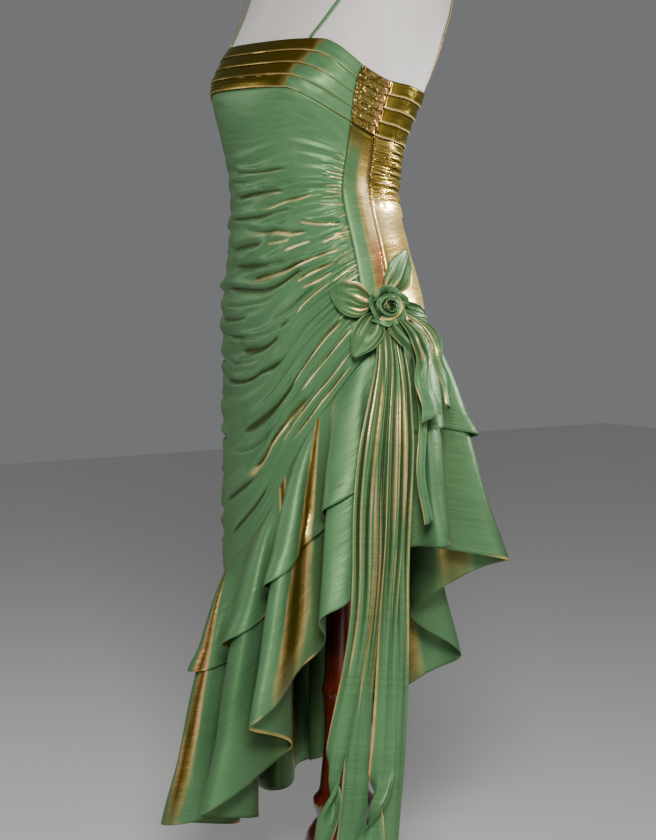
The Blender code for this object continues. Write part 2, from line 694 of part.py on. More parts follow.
def tail(row):
    """Long pleated strip of doubled cloth that hangs from the knot."""
    line, root_height = tail_line(row)
    fall = root_height - row.end_height

    def place(across, down, inner):
        if down == 0.0:
            return root_point(row.root_turn, row.root_lift - (TRIM_CLOTH if inner else 0.0),
                              TAIL_TOP_WIDTH * (across - 0.5))
        angle, out, width = lookup(line, down)
        height = root_height - fall * down
        point, away = figure_frame(angle, max(height, LOWEST_SECTION))
        side = Vector((-away.y, away.x, 0.0))
        turn = math.radians(row.twist) * max(0.0, down - TAIL_TWIST_FROM) / (1 - TAIL_TWIST_FROM)
        wide = side * math.cos(turn) + away * math.sin(turn)
        facing = away * math.cos(turn) - side * math.sin(turn)
        opened = blend(TAIL_PLEAT_AT_TOP, 1.0, min(1.0, down / TAIL_OPENS_BY))
        pleat = TAIL_PLEAT * (-1) ** round(across * TAIL_COLUMNS) * opened
        middle = Vector((point.x, point.y, height)) + away * out
        if down == 1.0:
            middle.z += width * TAIL_END_SLANT * (across - 0.5) * math.copysign(1.0, row.twist)
        if inner:
            pleat -= TRIM_CLOTH
        return middle + wide * (across - 0.5) * width + facing * pleat

    rows = SHORT_TAIL_ROWS if fall < SHORT_TAIL else LONG_TAIL_ROWS
    return cloth(row.name, TAIL_COLUMNS, rows, place, smooth_angle=60.0)


def ornament():
    knot()
    rose()
    for row in LEAVES:
        leaf(row)
    for row in TAILS:
        tail(row)


def shoulder_height(x):
    """Height of the top of the shoulder at a distance from the middle."""
    height, step = SHOULDER, 0.0005
    while lookup(FIGURE, height + step)[0] > x:
        height += step
    return height


def figure_section(height, front):
    """Half width, signed depth, middle and squareness of one face of the figure."""
    half_width, ahead, behind, centre_y, squareness = lookup(FIGURE, height)
    if front:
        return half_width, -ahead, centre_y, squareness
    return half_width, behind, centre_y, 2.0


def strap_foot(x, front):
    """Height just above the band's top edge at this distance from the middle."""
    height = BAND_TOP[0][1] if front else BAND_TOP[-1][1]
    for _ in range(6):
        half_width, _, _, power = figure_section(height, front)
        angle = math.degrees(math.asin(min(1.0, (x / half_width) ** (power / 2))))
        height = band_top(angle if front else 180 - angle) + STRAP_FOOT_GAP
    return height


def form_point(x, height, front):
    """Point on the form at a distance from the middle, and the direction away from the form."""
    def level(spot_x, spot_y, spot_z):
        half_width, depth, middle, power = figure_section(spot_z, front)
        return (abs(spot_x) / half_width) ** power + (abs((spot_y - middle) / depth)) ** power - 1

    half_width, depth, middle, power = figure_section(height, front)
    y = middle + depth * max(1 - (x / half_width) ** power, 0.0) ** (1 / power)
    step = 0.0005
    slope = Vector((
        level(x + step, y, height) - level(x - step, y, height),
        level(x, y + step, height) - level(x, y - step, height),
        level(x, y, height + step) - level(x, y, height - step),
    ))
    return Vector((x, y, height)), slope.normalized()


def strap_leg(edge_x, front, bridge):
    """Points and directions from the band's edge up one face of the form to the shoulder.

    bridge is how far the strap stands off the hollow above the bust.
    """
    foot, top = strap_foot(edge_x, front), shoulder_height(STRAP_TOP_X)
    leg = []
    for step in range(STRAP_STEPS + 1):
        part = step / STRAP_STEPS
        rise = math.sin(part * math.pi / 2)
        point, away = form_point(blend(edge_x, STRAP_TOP_X, rise), blend(foot, top, rise), front)
        leg.append((point + away * bridge * math.sin(part * math.pi), away))
    return leg


def strap(name, side):
    """Thin flat strap from the band over the shoulder to the back band."""
    path = strap_leg(STRAP_FRONT_X, True, STRAP_BRIDGE) + strap_leg(STRAP_BACK_X, False, 0.0)[-2::-1]
    flat = [Vector((side * spot.x, spot.y, spot.z)) for spot, _ in path]
    away = [Vector((side * face.x, face.y, face.z)) for _, face in path]
    last = len(flat) - 1

    def place(across, down, inner):
        number = round(down * last)
        along = (flat[min(number + 1, last)] - flat[max(number - 1, 0)]).normalized()
        wide = along.cross(away[number]).normalized()
        height = STRAP_LIFT + (0.0 if inner else STRAP_THICK)
        return flat[number] + away[number] * height + wide * ((across - 0.5) * STRAP_WIDTH)

    return cloth(name, 1, last, place, smooth_angle=60.0)


def main():
    clear_scene()
    form_torso()
    stand()
    band()
    sheath()
    flounces()
    ornament()
    strap("strap_left", 1)
    strap("strap_right", -1)


main()
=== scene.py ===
"""Looks of a shot-satin evening dress on a limbless form with a turned stand.

Metres, +Z up, wearer faces -Y. Angles round the figure are in degrees:
0 is the front, 90 the wearer's left, 180 the back.
"""
import math
import random
from collections import namedtuple

import bmesh
import bpy
import numpy as np
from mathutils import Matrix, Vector, noise


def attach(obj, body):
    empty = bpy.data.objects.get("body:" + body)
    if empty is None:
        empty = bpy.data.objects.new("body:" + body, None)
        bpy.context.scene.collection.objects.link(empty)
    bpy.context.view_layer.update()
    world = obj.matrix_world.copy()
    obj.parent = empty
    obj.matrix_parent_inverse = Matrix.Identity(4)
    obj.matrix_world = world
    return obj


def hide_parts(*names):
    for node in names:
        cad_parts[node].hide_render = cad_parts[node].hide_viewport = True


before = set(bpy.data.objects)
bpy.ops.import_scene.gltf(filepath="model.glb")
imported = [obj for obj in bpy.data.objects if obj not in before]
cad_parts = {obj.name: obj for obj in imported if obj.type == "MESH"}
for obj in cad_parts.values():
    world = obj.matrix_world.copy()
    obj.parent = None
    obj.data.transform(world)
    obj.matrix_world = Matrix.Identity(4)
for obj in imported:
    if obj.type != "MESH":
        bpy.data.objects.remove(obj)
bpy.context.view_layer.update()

# Sizes shared with the solids
CLOTH = 0.0015
EASE = 0.0020
FACE = EASE + CLOTH
SEAM_GAP = 0.0003
FLOUNCE_GAP = 0.0014
SIDE_FRONT = 68.0
SIDE_BACK_AT_BAND_TOP = 84.5
SEAM_TURN = 0.03
LEANING_SEAM_TURN = 0.08
FORM_BOTTOM = 0.745
NECK_TOP = 1.530
SHOULDER = 1.375

# The satin's wall, dips, hems and folds, and the form's middle, seams and rounded ends
SATIN = 0.0008
SEAM_DIP = 0.0011
SEAM_DIP_WIDTH = 0.0045
BAND_LEAST_OUT = EASE + 0.0006
PANEL_LEAST_OUT = EASE + 0.0008
HEM_ROLL = (0.0012, 0.0042)
SHARP_FOLD = 62
FIGURE_MIDDLE = -0.03
NECK_SEAM = 1.452
FORM_FOOT = 0.04
FORM_HEAD = 0.03
FORM_ROUNDING = 0.012
FORM_GROOVE = 0.0007
FORM_GROOVE_TURN = 1.6

# Sections of the figure: height, half_width, front, back, centre_y, squareness
FIGURE = (
    (0.180, 0.158, 0.118, 0.098, -0.034, 2.10),
    (0.500, 0.158, 0.118, 0.098, -0.034, 2.10),
    (0.650, 0.160, 0.115, 0.100, -0.032, 2.10),
    (0.760, 0.166, 0.114, 0.103, -0.030, 2.10),
    (0.844, 0.168, 0.115, 0.106, -0.028, 2.10),
    (0.911, 0.160, 0.114, 0.105, -0.032, 2.10),
    (0.979, 0.143, 0.104, 0.093, -0.038, 2.10),
    (1.057, 0.121, 0.104, 0.087, -0.043, 2.10),
    (1.118, 0.131, 0.127, 0.078, -0.030, 2.20),
    (1.159, 0.142, 0.147, 0.080, -0.019, 2.40),
    (1.198, 0.151, 0.157, 0.091, -0.009, 2.60),
    (1.230, 0.157, 0.147, 0.100, -0.004, 2.45),
    (1.262, 0.160, 0.131, 0.108, 0.000, 2.30),
    (1.290, 0.166, 0.119, 0.111, 0.005, 2.20),
    (1.330, 0.175, 0.104, 0.104, 0.012, 2.10),
    (1.370, 0.173, 0.089, 0.090, 0.018, 2.00),
    (1.400, 0.150, 0.079, 0.078, 0.020, 2.00),
    (1.425, 0.108, 0.071, 0.068, 0.020, 2.00),
    (1.445, 0.075, 0.065, 0.063, 0.016, 2.00),
    (1.470, 0.059, 0.060, 0.060, 0.011, 2.00),
    (1.500, 0.054, 0.057, 0.057, 0.008, 2.00),
    (1.530, 0.053, 0.056, 0.056, 0.006, 2.00),
)

# Edges of the band on either side: angle, height
BAND_TOP = (
    (0, 1.251), (40, 1.250), (50, 1.242), (60, 1.228), (69, 1.215), (85, 1.197), (107, 1.188), (140, 1.182),
    (180, 1.180),
)
BAND_BOTTOM = (
    (0, 1.190), (30, 1.188), (37, 1.183), (50, 1.168), (64, 1.150), (82, 1.129), (92, 1.123), (112, 1.118),
    (140, 1.114), (180, 1.112),
)
# Seam behind the side panels: share of the way down from the band, angle
REAR_SEAM = ((0.0, 82.0), (0.15, 84.5), (0.35, 88.0), (0.70, 86.5), (1.0, 86.0))
BAND_TUCKS = 4
SIDE_TUCKS = 7
TUCK_STAND = 0.0022
TUCK_WANDER = 0.012
TUCK_CRINKLE = 0.0007

# Line where the flounces are sewn on, all the way round: angle, height
SEAM_LINE = (
    (-290, 0.870), (-264, 0.893), (-240, 0.897), (-210, 0.855), (-180, 0.742), (-150, 0.655),
    (-120, 0.598), (-90, 0.558), (-60, 0.540), (-34, 0.546), (-8, 0.584), (10, 0.633),
    (28, 0.718), (43, 0.779), (66, 0.850), (90, 0.888), (110, 0.896),
)

# Folds of the ruched panels: where each meets the left and the right seam and how far it sags between them,
# in thousandths of the way from band to flounces, and how far it stands out, in tenths of a millimetre
Ruche = namedtuple("Ruche", "left right sag stand")
FRONT_RUCHES = (
    (114, 104, 0, 15), (150, 137, 0, 22), (186, 171, 6, 25), (227, 205, 8, 30), (268, 240, 10, 48),
    (313, 277, 12, 32), (367, 316, 14, 38), (421, 356, 18, 42), (475, 394, 22, 38), (529, 431, 26, 46),
    (579, 472, 28, 40), (621, 512, 30, 46), (661, 555, 28, 44), (701, 609, 26, 58), (751, 670, 22, 40),
    (806, 734, 16, 34), (860, 802, 10, 34), (914, 872, 6, 30), (964, 940, 0, 24),
)
BACK_RUCHES = (
    (60, 50, 10, 28), (110, 98, 12, 36), (160, 145, 12, 34), (215, 195, 14, 40), (270, 248, 14, 32),
    (330, 305, 14, 24),
)

# Creases of the ruched panels: half width and depth of the trough in tenths of a millimetre, gold of its lower
# lip in tenths, then its path in thousandths across and down, by turns
Crease = namedtuple("Crease", "width depth gold path")
FRONT_CREASES = (
    (30, 24, 2, 629, 165, 404, 194, 242, 225), (30, 18, 0, 655, 187, 485, 203),
    (25, 16, 0, 471, 214, 297, 259, 183, 263), (42, 36, 3, 640, 222, 415, 240, 268, 281),
    (34, 24, 5, 423, 272, 305, 301, 213, 312, 132, 304), (28, 16, 0, 382, 289, 205, 342),
    (36, 30, 1, 721, 257, 430, 291, 220, 347), (40, 26, 4, 559, 293, 367, 347, 275, 396, 180, 423),
    (30, 20, 4, 408, 357, 279, 408), (26, 20, 9, 231, 379, 135, 410, 32, 433),
    (28, 22, 10, 143, 473, 36, 470), (44, 38, 5, 515, 417, 412, 433, 305, 477, 209, 501),
    (28, 26, 10, 305, 477, 209, 501, 43, 527), (24, 16, 8, 320, 419, 261, 436, 183, 452),
    (50, 28, 0, 692, 326, 537, 336, 423, 353), (50, 34, 0, 647, 364, 445, 399, 290, 460),
    (34, 28, 10, 268, 532, 216, 540, 91, 562), (26, 20, 9, 246, 565, 180, 582, 110, 588),
    (28, 20, 9, 275, 618, 250, 614, 176, 614, 117, 615),
    (46, 38, 1, 717, 398, 511, 438, 320, 499, 224, 515), (26, 20, 0, 714, 437, 485, 475, 342, 513),
    (40, 26, 0, 740, 465, 507, 497), (26, 20, 0, 393, 554, 294, 586, 172, 593),
    (22, 16, 0, 272, 687, 216, 698, 157, 703), (34, 28, 0, 714, 498, 533, 537, 375, 584, 290, 626),
    (70, 38, 0, 574, 555, 445, 591, 349, 615), (30, 22, 2, 680, 560, 504, 600, 452, 605),
    (44, 40, 0, 725, 590, 529, 634, 441, 645, 327, 688),
    (100, 44, 0, 563, 738, 445, 754, 342, 782, 286, 797),
    (30, 24, 0, 625, 763, 507, 794, 408, 813, 312, 846, 139, 856),
    (40, 34, 10, 334, 788, 286, 784, 239, 778, 150, 772, 84, 780),
    (60, 44, 9, 529, 840, 434, 853, 378, 847, 286, 875, 235, 892),
    (30, 28, 10, 275, 844, 202, 842, 99, 840, 55, 837),
    (28, 28, 10, 349, 892, 308, 900, 213, 914, 150, 919, 55, 916),
    (30, 30, 10, 305, 941, 235, 957, 139, 965, 70, 966), (80, 30, 0, 710, 852, 548, 863, 441, 869),
    (80, 32, 0, 644, 940, 500, 936, 401, 932), (34, 26, 3, 1000, 140, 900, 150, 780, 179),
    (44, 34, 2, 1000, 240, 880, 251, 760, 282), (30, 24, 5, 1000, 289, 900, 302, 820, 318),
    (50, 36, 1, 1000, 372, 880, 380, 740, 413), (36, 28, 4, 1000, 440, 930, 444, 800, 466),
    (60, 38, 0, 1000, 516, 860, 530, 720, 557), (34, 26, 3, 1000, 600, 900, 609, 790, 624),
    (60, 40, 0, 1000, 691, 860, 698, 700, 723), (40, 30, 2, 1000, 773, 890, 779, 800, 789),
    (70, 38, 0, 1000, 858, 880, 861, 740, 871), (50, 30, 1, 1000, 943, 900, 945, 820, 941),
)
BACK_CREASES = (
    (40, 30, 3, 960, 40, 700, 52, 300, 60, 50, 50), (34, 28, 6, 700, 92, 420, 100, 60, 86),
    (44, 34, 2, 980, 120, 760, 136, 400, 142, 160, 135), (34, 26, 7, 560, 176, 300, 182, 30, 168),
    (50, 36, 1, 990, 186, 680, 212, 380, 222), (36, 28, 5, 480, 248, 240, 250, 30, 238),
    (54, 34, 1, 980, 262, 760, 285, 480, 296), (40, 24, 4, 420, 318, 180, 322, 40, 314),
    (70, 26, 0, 960, 350, 700, 378, 460, 392),
)
# How creases are drawn: cell of a chart, share over which an end fades, depths where shade starts and is full
CREASE_CELL = 0.00125
CREASE_TAPER = 0.20
TROUGH = (0.0003, 0.0021)
# How the panels stand: rows to a fold, fullness, ripple, reach over the flounces, softness at the sides
FOLD_ROWS = 9
RUCHED_FULLNESS = 0.0016
PANEL_RIPPLE = 0.0008
PANEL_OVERHANG = 0.0012
SIDE_SOFTNESS = 0.0009
# Size of the flat charts on which the creases are drawn
FRONT_CHART = (0.36, 0.50)
BACK_CHART = (0.20, 0.45)
# Rows of short creases beside a seam: which edge, first and last share down, how many, longest share across,
# depth, gold and seed
Gathers = namedtuple("Gathers", "seam first last count longest depth gold seed")
FRONT_GATHERS = [Gathers(*row) for row in (
    (0.0, 0.125, 0.66, 34, 0.13, 0.0017, 0.9, 4), (0.0, 0.68, 0.97, 12, 0.12, 0.0013, 0.8, 9),
    (1.0, 0.110, 0.97, 40, 0.12, 0.0016, 0.5, 5),
)]
BACK_GATHERS = [Gathers(*row) for row in (
    (0.0, 0.030, 0.36, 9, 0.30, 0.0015, 0.8, 6), (1.0, 0.020, 0.42, 16, 0.24, 0.0015, 0.4, 7),
)]

# Flutes of both flounces: crest angle, mean and extra reach at the lower hem, fall of each tier
Flute = namedtuple("Flute", "angle flare throw upper_fall lower_fall")
FLUTES = [Flute(*row) for row in (
    (96, 0.036, 0.022, 0.140, 0.285), (54, 0.038, 0.026, 0.150, 0.285), (31, 0.038, 0.056, 0.165, 0.340),
    (10, 0.030, 0.054, 0.150, 0.372), (-27, 0.030, 0.056, 0.138, 0.346), (-60, 0.032, 0.052, 0.145, 0.350),
    (-92, 0.032, 0.052, 0.145, 0.360), (-122, 0.034, 0.054, 0.150, 0.368),
    (-152, 0.044, 0.054, 0.150, 0.362), (-184, 0.058, 0.052, 0.145, 0.350),
    (-220, 0.074, 0.056, 0.138, 0.306), (-254, 0.036, 0.024, 0.140, 0.290),
    (-284, 0.034, 0.020, 0.140, 0.285),
)]
# Gold that runs down the flounces: flute at its top and at the hem, half width there, strength, copper,
# and how far down it ends if it doesn't reach the hem
Stripe = namedtuple("Stripe", "top hem narrow wide gold copper ends", defaults=(1.2,))
STRIPES = [Stripe(*row) for row in (
    (0.30, 0.24, 0.04, 0.06, 0.5, 0.3), (1.20, 1.22, 0.02, 0.03, 0.5, 0.9),
    (1.58, 1.74, 0.04, 0.13, 1.0, 0.6), (2.46, 2.44, 0.07, 0.03, 1.0, 0.4, 0.35),
    (3.12, 3.18, 0.015, 0.03, 0.5, 0.5), (3.88, 3.93, 0.03, 0.05, 1.0, 1.0),
    (4.62, 4.76, 0.05, 0.11, 0.9, 0.5), (5.70, 5.74, 0.03, 0.07, 0.8, 0.9),
    (6.66, 6.76, 0.05, 0.10, 1.0, 0.5), (7.72, 7.80, 0.03, 0.06, 0.7, 0.9),
    (8.60, 8.70, 0.05, 0.11, 1.0, 0.4), (9.74, 9.72, 0.03, 0.08, 0.8, 0.7),
    (10.66, 10.72, 0.04, 0.08, 0.8, 0.5), (11.64, 11.70, 0.04, 0.06, 0.6, 0.5),
)]
# How the flutes reach out and curl as they fall, where each tier starts and ends, and the room between tiers
FLUTE_REACH_AT = 0.33
FLUTE_GROWTH = 0.70
FLUTE_EASE = 0.012
FLUTE_CURL = 0.58
CURL_FULL_AT = 0.10
FLOUNCE_LEFT_FRONT = 78.0
FLOUNCE_RIGHT = -92.0
FLOUNCE_LEFT_BACK = -271.0
LEVEL_NEAR_SEAM = 0.020
TIER_CLEAR = 0.0048
TIER_CLEAR_FULL_AT = 0.032
FLOUNCE_FACE = FACE + 0.0010
LOWER_TOP = 0.006
COLUMNS_PER_FLUTE = 30
HEM_WAVE = 0.0045
FLOUNCE_SOFTNESS = 0.0022

# Rose, knot and what hangs from them
ROSE_ANGLE = 78.0
ROSE_HEIGHT = 0.914
KNOT_RADIUS = 0.016
KNOT_OUT = FACE + KNOT_RADIUS - 0.0001
KNOT_CLEAR = 0.0006
KNOT_PLEATS = 13
KNOT_PLEAT = 0.0009
KNOT_INSET = 0.0006
ROSE_FOOT = 0.0005
ROSE_CORE_BEHIND = 0.05
HEART_TURNS = 2.6
PETALS = 5
PETAL_SPAN = 1.22
HIP_RADIUS = 0.145
Leaf = namedtuple("Leaf", "name root_turn tip_angle tip_height half_width root_lift tip_lift")
LEAVES = [Leaf(*row) for row in (
    ("leaf_up", 154.0, 97.0, 0.984, 0.0180, 0.000, 0.012),
    ("leaf_front_loop", -98.0, 50.0, 0.930, 0.0230, 0.000, -0.004),
    ("leaf_down", -52.0, 60.0, 0.850, 0.0170, 0.006, 0.014),
    ("leaf_back", 91.0, 106.0, 0.898, 0.0090, 0.000, 0.004),
    ("leaf_low", 0.0, 88.0, 0.850, 0.0110, 0.0045, 0.034),
)]
# How much gold, and with it how strong a painted glint, each named leaf shows; the others show a little
LEAF_GOLD = {"leaf_front_loop": 1.0, "leaf_up": 0.8}
Tail = namedtuple("Tail", "name root_turn root_lift mid_angle end_angle end_height "
                          "mid_out end_out mid_width end_width twist")
TAILS = [Tail(*row) for row in (
    ("tail_long_front", -39.0, 0.000, 64.0, 47.0, 0.130, 0.064, 0.070, 0.024, 0.042, 60.0),
    ("tail_long_second", -13.0, 0.000, 70.0, 57.0, 0.118, 0.050, 0.046, 0.026, 0.044, -15.0),
    ("tail_long_third", 13.0, 0.000, 77.0, 67.0, 0.135, 0.062, 0.060, 0.026, 0.042, 15.0),
    ("tail_long_back", 39.0, 0.000, 83.5, 78.0, 0.122, 0.048, 0.042, 0.024, 0.040, -20.0),
    ("tail_short_narrow", 63.0, 0.000, 89.0, 91.0, 0.640, 0.046, 0.062, 0.012, 0.013, 10.0),
    ("tail_short_pointed", 54.0, 0.0048, 86.5, 89.0, 0.775, 0.060, 0.068, 0.020, 0.028, 15.0),
    ("tail_short_rolled", 84.0, 0.003, 95.0, 100.0, 0.785, 0.056, 0.060, 0.020, 0.028, -20.0),
)]
LEAF_WALL = 0.0012
LEAF_CREASE = 0.14
LEAF_PLEAT = 0.0016
LEAF_RIM = 0.0026
LEAF_WAVE = 0.0018
LEAF_TIP_OUT = 0.012
LEAF_ROOT_HALF_WIDTH = 0.0018
TAIL_PLEAT = 0.0026
TAIL_LINES = 4
TAIL_BOW = 0.0045
TAIL_SWAY = 0.0036
SHORT_FALL = 0.30
TAIL_TOP_WIDTH = 0.0062
TAIL_TWIST_FROM = 0.45
HALF_TWISTS = {"tail_long_front": (0.70, 0.86), "tail_long_third": (0.74, 0.88)}
LOWEST_SECTION = 0.18

# Straps
STRAP_WIDTH = 0.005
STRAP_THICK = 0.0012
STRAP_LIFT = 0.0018
STRAP_FOOT_GAP = 0.0015
STRAP_FRONT_X = 0.094
STRAP_TOP_X = 0.148
STRAP_BACK_X = 0.090
STRAP_BRIDGE = 0.005
STRAP_CROWN = 0.0006
STRAP_STEPS = 40
SLOPE_STEP = 0.0005

# Turned stand: height and radius
COLUMN_PROFILE = (
    (0.0453, 0.000), (0.0453, 0.082), (0.055, 0.086), (0.068, 0.080), (0.088, 0.062), (0.120, 0.054),
    (0.160, 0.056), (0.186, 0.050), (0.204, 0.038), (0.214, 0.039), (0.222, 0.043), (0.232, 0.042),
    (0.242, 0.035), (0.262, 0.032), (0.320, 0.027), (0.368, 0.0280), (0.382, 0.0310), (0.396, 0.0280),
    (0.433, 0.0265), (0.600, 0.0250), (0.722, 0.0255), (0.728, 0.036), (0.7447, 0.036), (0.7447, 0.000),
)
BASE_PROFILE = (
    (0.000, 0.000), (0.000, 0.186), (0.006, 0.192), (0.022, 0.192), (0.028, 0.184), (0.033, 0.160),
    (0.040, 0.120), (0.045, 0.098), (0.045, 0.000),
)

# The photograph's camera
CAMERA_TURN = math.radians(55)
CAMERA_HEIGHT = 1.0
CAMERA_AWAY = 2.8
CAMERA_SHIFT = -0.022
AIM_HEIGHT = 0.753
FRAME_HEIGHT = 1.135
TOWARD_CAMERA = Vector((math.sin(CAMERA_TURN), -math.cos(CAMERA_TURN), 0.0))
CAMERA_SIDE = Vector((math.cos(CAMERA_TURN), math.sin(CAMERA_TURN), 0.0))

# How each piece of cloth is cut and held: width and length of the flat cut, its area if not a rectangle.
# Pieces cut alike share a row
Cut = namedtuple("Cut", "width length area held rests_on")
CUTS = {name: Cut(*sizes, held, rests_on) for held, rests_on, rows in (
    ("folded", "form_torso", (
        ("band_front", 0.36, 0.10, None), ("band_side", 0.042, 0.12, None), ("band_back", 0.18, 0.10, None))),
    ("gathered", "form_torso", (
        ("front_panel", 0.42, 0.66, 0.215), ("back_panel_left", 0.23, 0.42, 0.066),
        ("back_panel_right", 0.24, 0.60, 0.115))),
    ("draped", "form_torso", (
        ("side_panel_left", 0.040, 0.30, None), ("side_panel_right", 0.042, 0.62, None))),
    ("hung", "front_panel", (
        ("flounce_upper_front", 0.84, 0.36, 0.105), ("flounce_lower_front", 1.30, 0.60, 0.310))),
    ("hung", "back_panel_right", (
        ("flounce_upper_back", 0.84, 0.36, 0.105), ("flounce_lower_back", 1.30, 0.60, 0.310))),
    ("gathered", "gathered_knot", (
        ("rose_heart", 0.100, 0.018, None), ("rose_petal", 0.028, 0.018, None),
        ("leaf_up", 0.036, 0.060, 0.0019), ("leaf_front_loop", 0.044, 0.056, 0.0019),
        ("leaf_down", 0.034, 0.066, 0.0019), ("leaf_back", 0.020, 0.058, 0.0009),
        ("leaf_low", 0.024, 0.060, 0.0012))),
    ("hung", "gathered_knot", (
        ("tail_long_front", 0.032, 0.80, None), ("tail_long_second", 0.032, 0.81, None),
        ("tail_long_third", 0.032, 0.79, None), ("tail_long_back", 0.032, 0.81, None),
        ("tail_short_narrow", 0.018, 0.28, None), ("tail_short_pointed", 0.028, 0.15, None),
        ("tail_short_rolled", 0.028, 0.14, None))),
    ("laid", "form_torso", (("strap", 0.010, 0.53, 0.0028),)),
) for name, *sizes in rows}


def cut_of(name):
    """The row of CUTS for a piece, or the one that it shares with its like."""
    return CUTS.get(name) or CUTS[name.rsplit("_", 1)[0]]


# Curves through the tables

def blend(start, end, part):
    """What lies a part of the way from start to end."""
    return start + (end - start) * part


def ease(low, high, value):
    """Smooth step from 0 at low to 1 at high."""
    part = min(max((value - low) / (high - low), 0.0), 1.0)
    return part * part * (3 - 2 * part)


def hump(beside, width):
    """Soft hump that is 1 where beside is 0."""
    return np.exp(-(beside / width) ** 2)


def signed_power(value, power):
    """Power of a value's size, with its sign kept."""
    return math.copysign(abs(value) ** power, value)


def lookup(table, key):
    """Smooth curve through a table whose first column rises; returns the other columns."""
    last = len(table) - 1
    place = 0
    while place < last - 1 and key > table[place + 1][0]:
        place += 1
    before, start = table[max(place - 1, 0)], table[place]
    end, after = table[place + 1], table[min(place + 2, last)]
    span = end[0] - start[0]
    part = min(max((key - start[0]) / span, 0.0), 1.0)
    square, cube = part * part, part ** 3
    values = []
    for column in range(1, len(start)):
        slope_in = (end[column] - before[column]) / (end[0] - before[0]) * span
        slope_out = (after[column] - start[column]) / (after[0] - start[0]) * span
        values.append((2 * cube - 3 * square + 1) * start[column] + (cube - 2 * square + part) * slope_in
                      + (3 * square - 2 * cube) * end[column] + (cube - square) * slope_out)
    return values


def rounded_line(spots, parts, straight=None):
    """Rounded line through all spots but the first and the last, which only lead it.

    straight(start, end) says which stretches stay straight.
    """
    line = [spots[1]]
    for before, start, end, after in zip(spots, spots[1:], spots[2:], spots[3:]):
        for step in range(1, parts + 1):
            part = step / parts
            if straight and straight(start, end):
                line.append(blend(start, end, part))
                continue
            line.append(0.5 * (2 * start + (end - before) * part
                               + (2 * before - 5 * start + 4 * end - after) * part ** 2
                               + (3 * start - before - 3 * end + after) * part ** 3))
    return line


def figure_section(height, front):
    """Half width, signed depth, middle and squareness of one face of the figure."""
    half_width, ahead, behind, middle, squareness = lookup(FIGURE, height)
    return (half_width, -ahead, middle, squareness) if front else (half_width, behind, middle, 2.0)


def figure_frame(angle, height):
    """Point on the figure's surface and the level direction that points away from it."""
    turn = math.radians(angle)
    ahead = math.cos(turn)
    half_width, depth, middle, power = figure_section(height, ahead > 0)
    x = half_width * signed_power(math.sin(turn), 2 / power)
    y = depth * abs(ahead) ** (2 / power)
    away = Vector((signed_power(x / half_width, power - 1) / half_width,
                   abs(y / depth) ** (power - 1) / depth, 0.0))
    return Vector((x, middle + y, height)), away.normalized()


def figure_point(angle, height, out):
    """Point that stands out from the figure's surface."""
    point, away = figure_frame(angle, height)
    return point + away * out


def band_edge(edge, angle):
    """Height of BAND_TOP or BAND_BOTTOM, alike on both sides."""
    return lookup(edge, abs((angle + 180) % 360 - 180))[0]


def seam_line(angle):
    """Height of the seam that the flounces hang from."""
    while angle > 96:
        angle -= 360
    while angle < -280:
        angle += 360
    return lookup(SEAM_LINE, angle)[0]


def uneven(x, y, seed):
    """Steady unevenness between about -1 and 1."""
    return noise.noise(Vector((x, y, seed * 7.31)))


# Materials

# Marks that the satin reads: gold, copper, hems, and deep, the painted shade of folds and troughs, which below
# 0 paints a glint
CLOTH_MARKS = ("gold", "copper", "hem", "deep")


def feed(tree, socket, value):
    """Gives an input what another node puts out, or a plain colour or number."""
    if isinstance(value, bpy.types.NodeSocket):
        tree.links.new(value, socket)
    elif socket.type == "RGBA":
        socket.default_value = (*value, 1.0)
    else:
        socket.default_value = value


def node_of(tree, kind, inputs=(), **settings):
    """New node; inputs pairs the number or name of an input with what feeds it."""
    made = tree.nodes.new(kind)
    for name, value in settings.items():
        setattr(made, name, value)
    for place, value in dict(inputs).items():
        feed(tree, made.inputs[place], value)
    return made


def mix_colour(tree, factor, first, second):
    """Colour between two others; each may be a socket or a plain colour."""
    return node_of(tree, "ShaderNodeMix", {0: factor, 6: first, 7: second}, data_type="RGBA").outputs[2]


def sum_up(tree, operation, *values, clamp=False):
    """Arithmetic on values; each may be a socket or a number."""
    return node_of(tree, "ShaderNodeMath", enumerate(values), operation=operation, use_clamp=clamp).outputs[0]


def spread(tree, value, low, high, to_low=0.0, to_high=1.0):
    """Smooth remap of a value."""
    return node_of(tree, "ShaderNodeMapRange", enumerate((value, low, high, to_low, to_high)),
                   interpolation_type="SMOOTHSTEP").outputs[0]


def grain(tree, where, scale, detail=2.0, stretch=(1.0, 1.0, 1.0), turn=0.0):
    """Noise on a coordinate, drawn out by stretch."""
    mapping = node_of(tree, "ShaderNodeMapping", {
        "Vector": where, "Scale": stretch, "Rotation": (0.0, 0.0, math.radians(turn))})
    return node_of(tree, "ShaderNodeTexNoise", {
        "Vector": mapping.outputs["Vector"], "Scale": scale, "Detail": detail}).outputs["Fac"]


def threads(tree, where, direction, scale, waver=0.0):
    """Fine threads side by side."""
    return node_of(tree, "ShaderNodeTexWave", {"Vector": where, "Scale": scale, "Distortion": waver},
                   wave_type="BANDS", bands_direction=direction).outputs["Fac"]


def bumps(tree, heights):
    """Stack of bumps; heights holds (socket, strength, distance)."""
    before = None
    for height, strength, distance in heights:
        bump = node_of(tree, "ShaderNodeBump", {"Height": height, "Strength": strength, "Distance": distance})
        if before is not None:
            feed(tree, bump.inputs["Normal"], before)
        before = bump.outputs["Normal"]
    return before


def new_material(name):
    """New material and its node tree."""
    made = bpy.data.materials.new(name)
    made.use_nodes = True
    return made, made.node_tree


def finished(made, looks):
    """Gives a material its looks, by the names of the shader's inputs."""
    for name, value in looks.items():
        feed(made.node_tree, made.node_tree.nodes["Principled BSDF"].inputs[name], value)
    return made


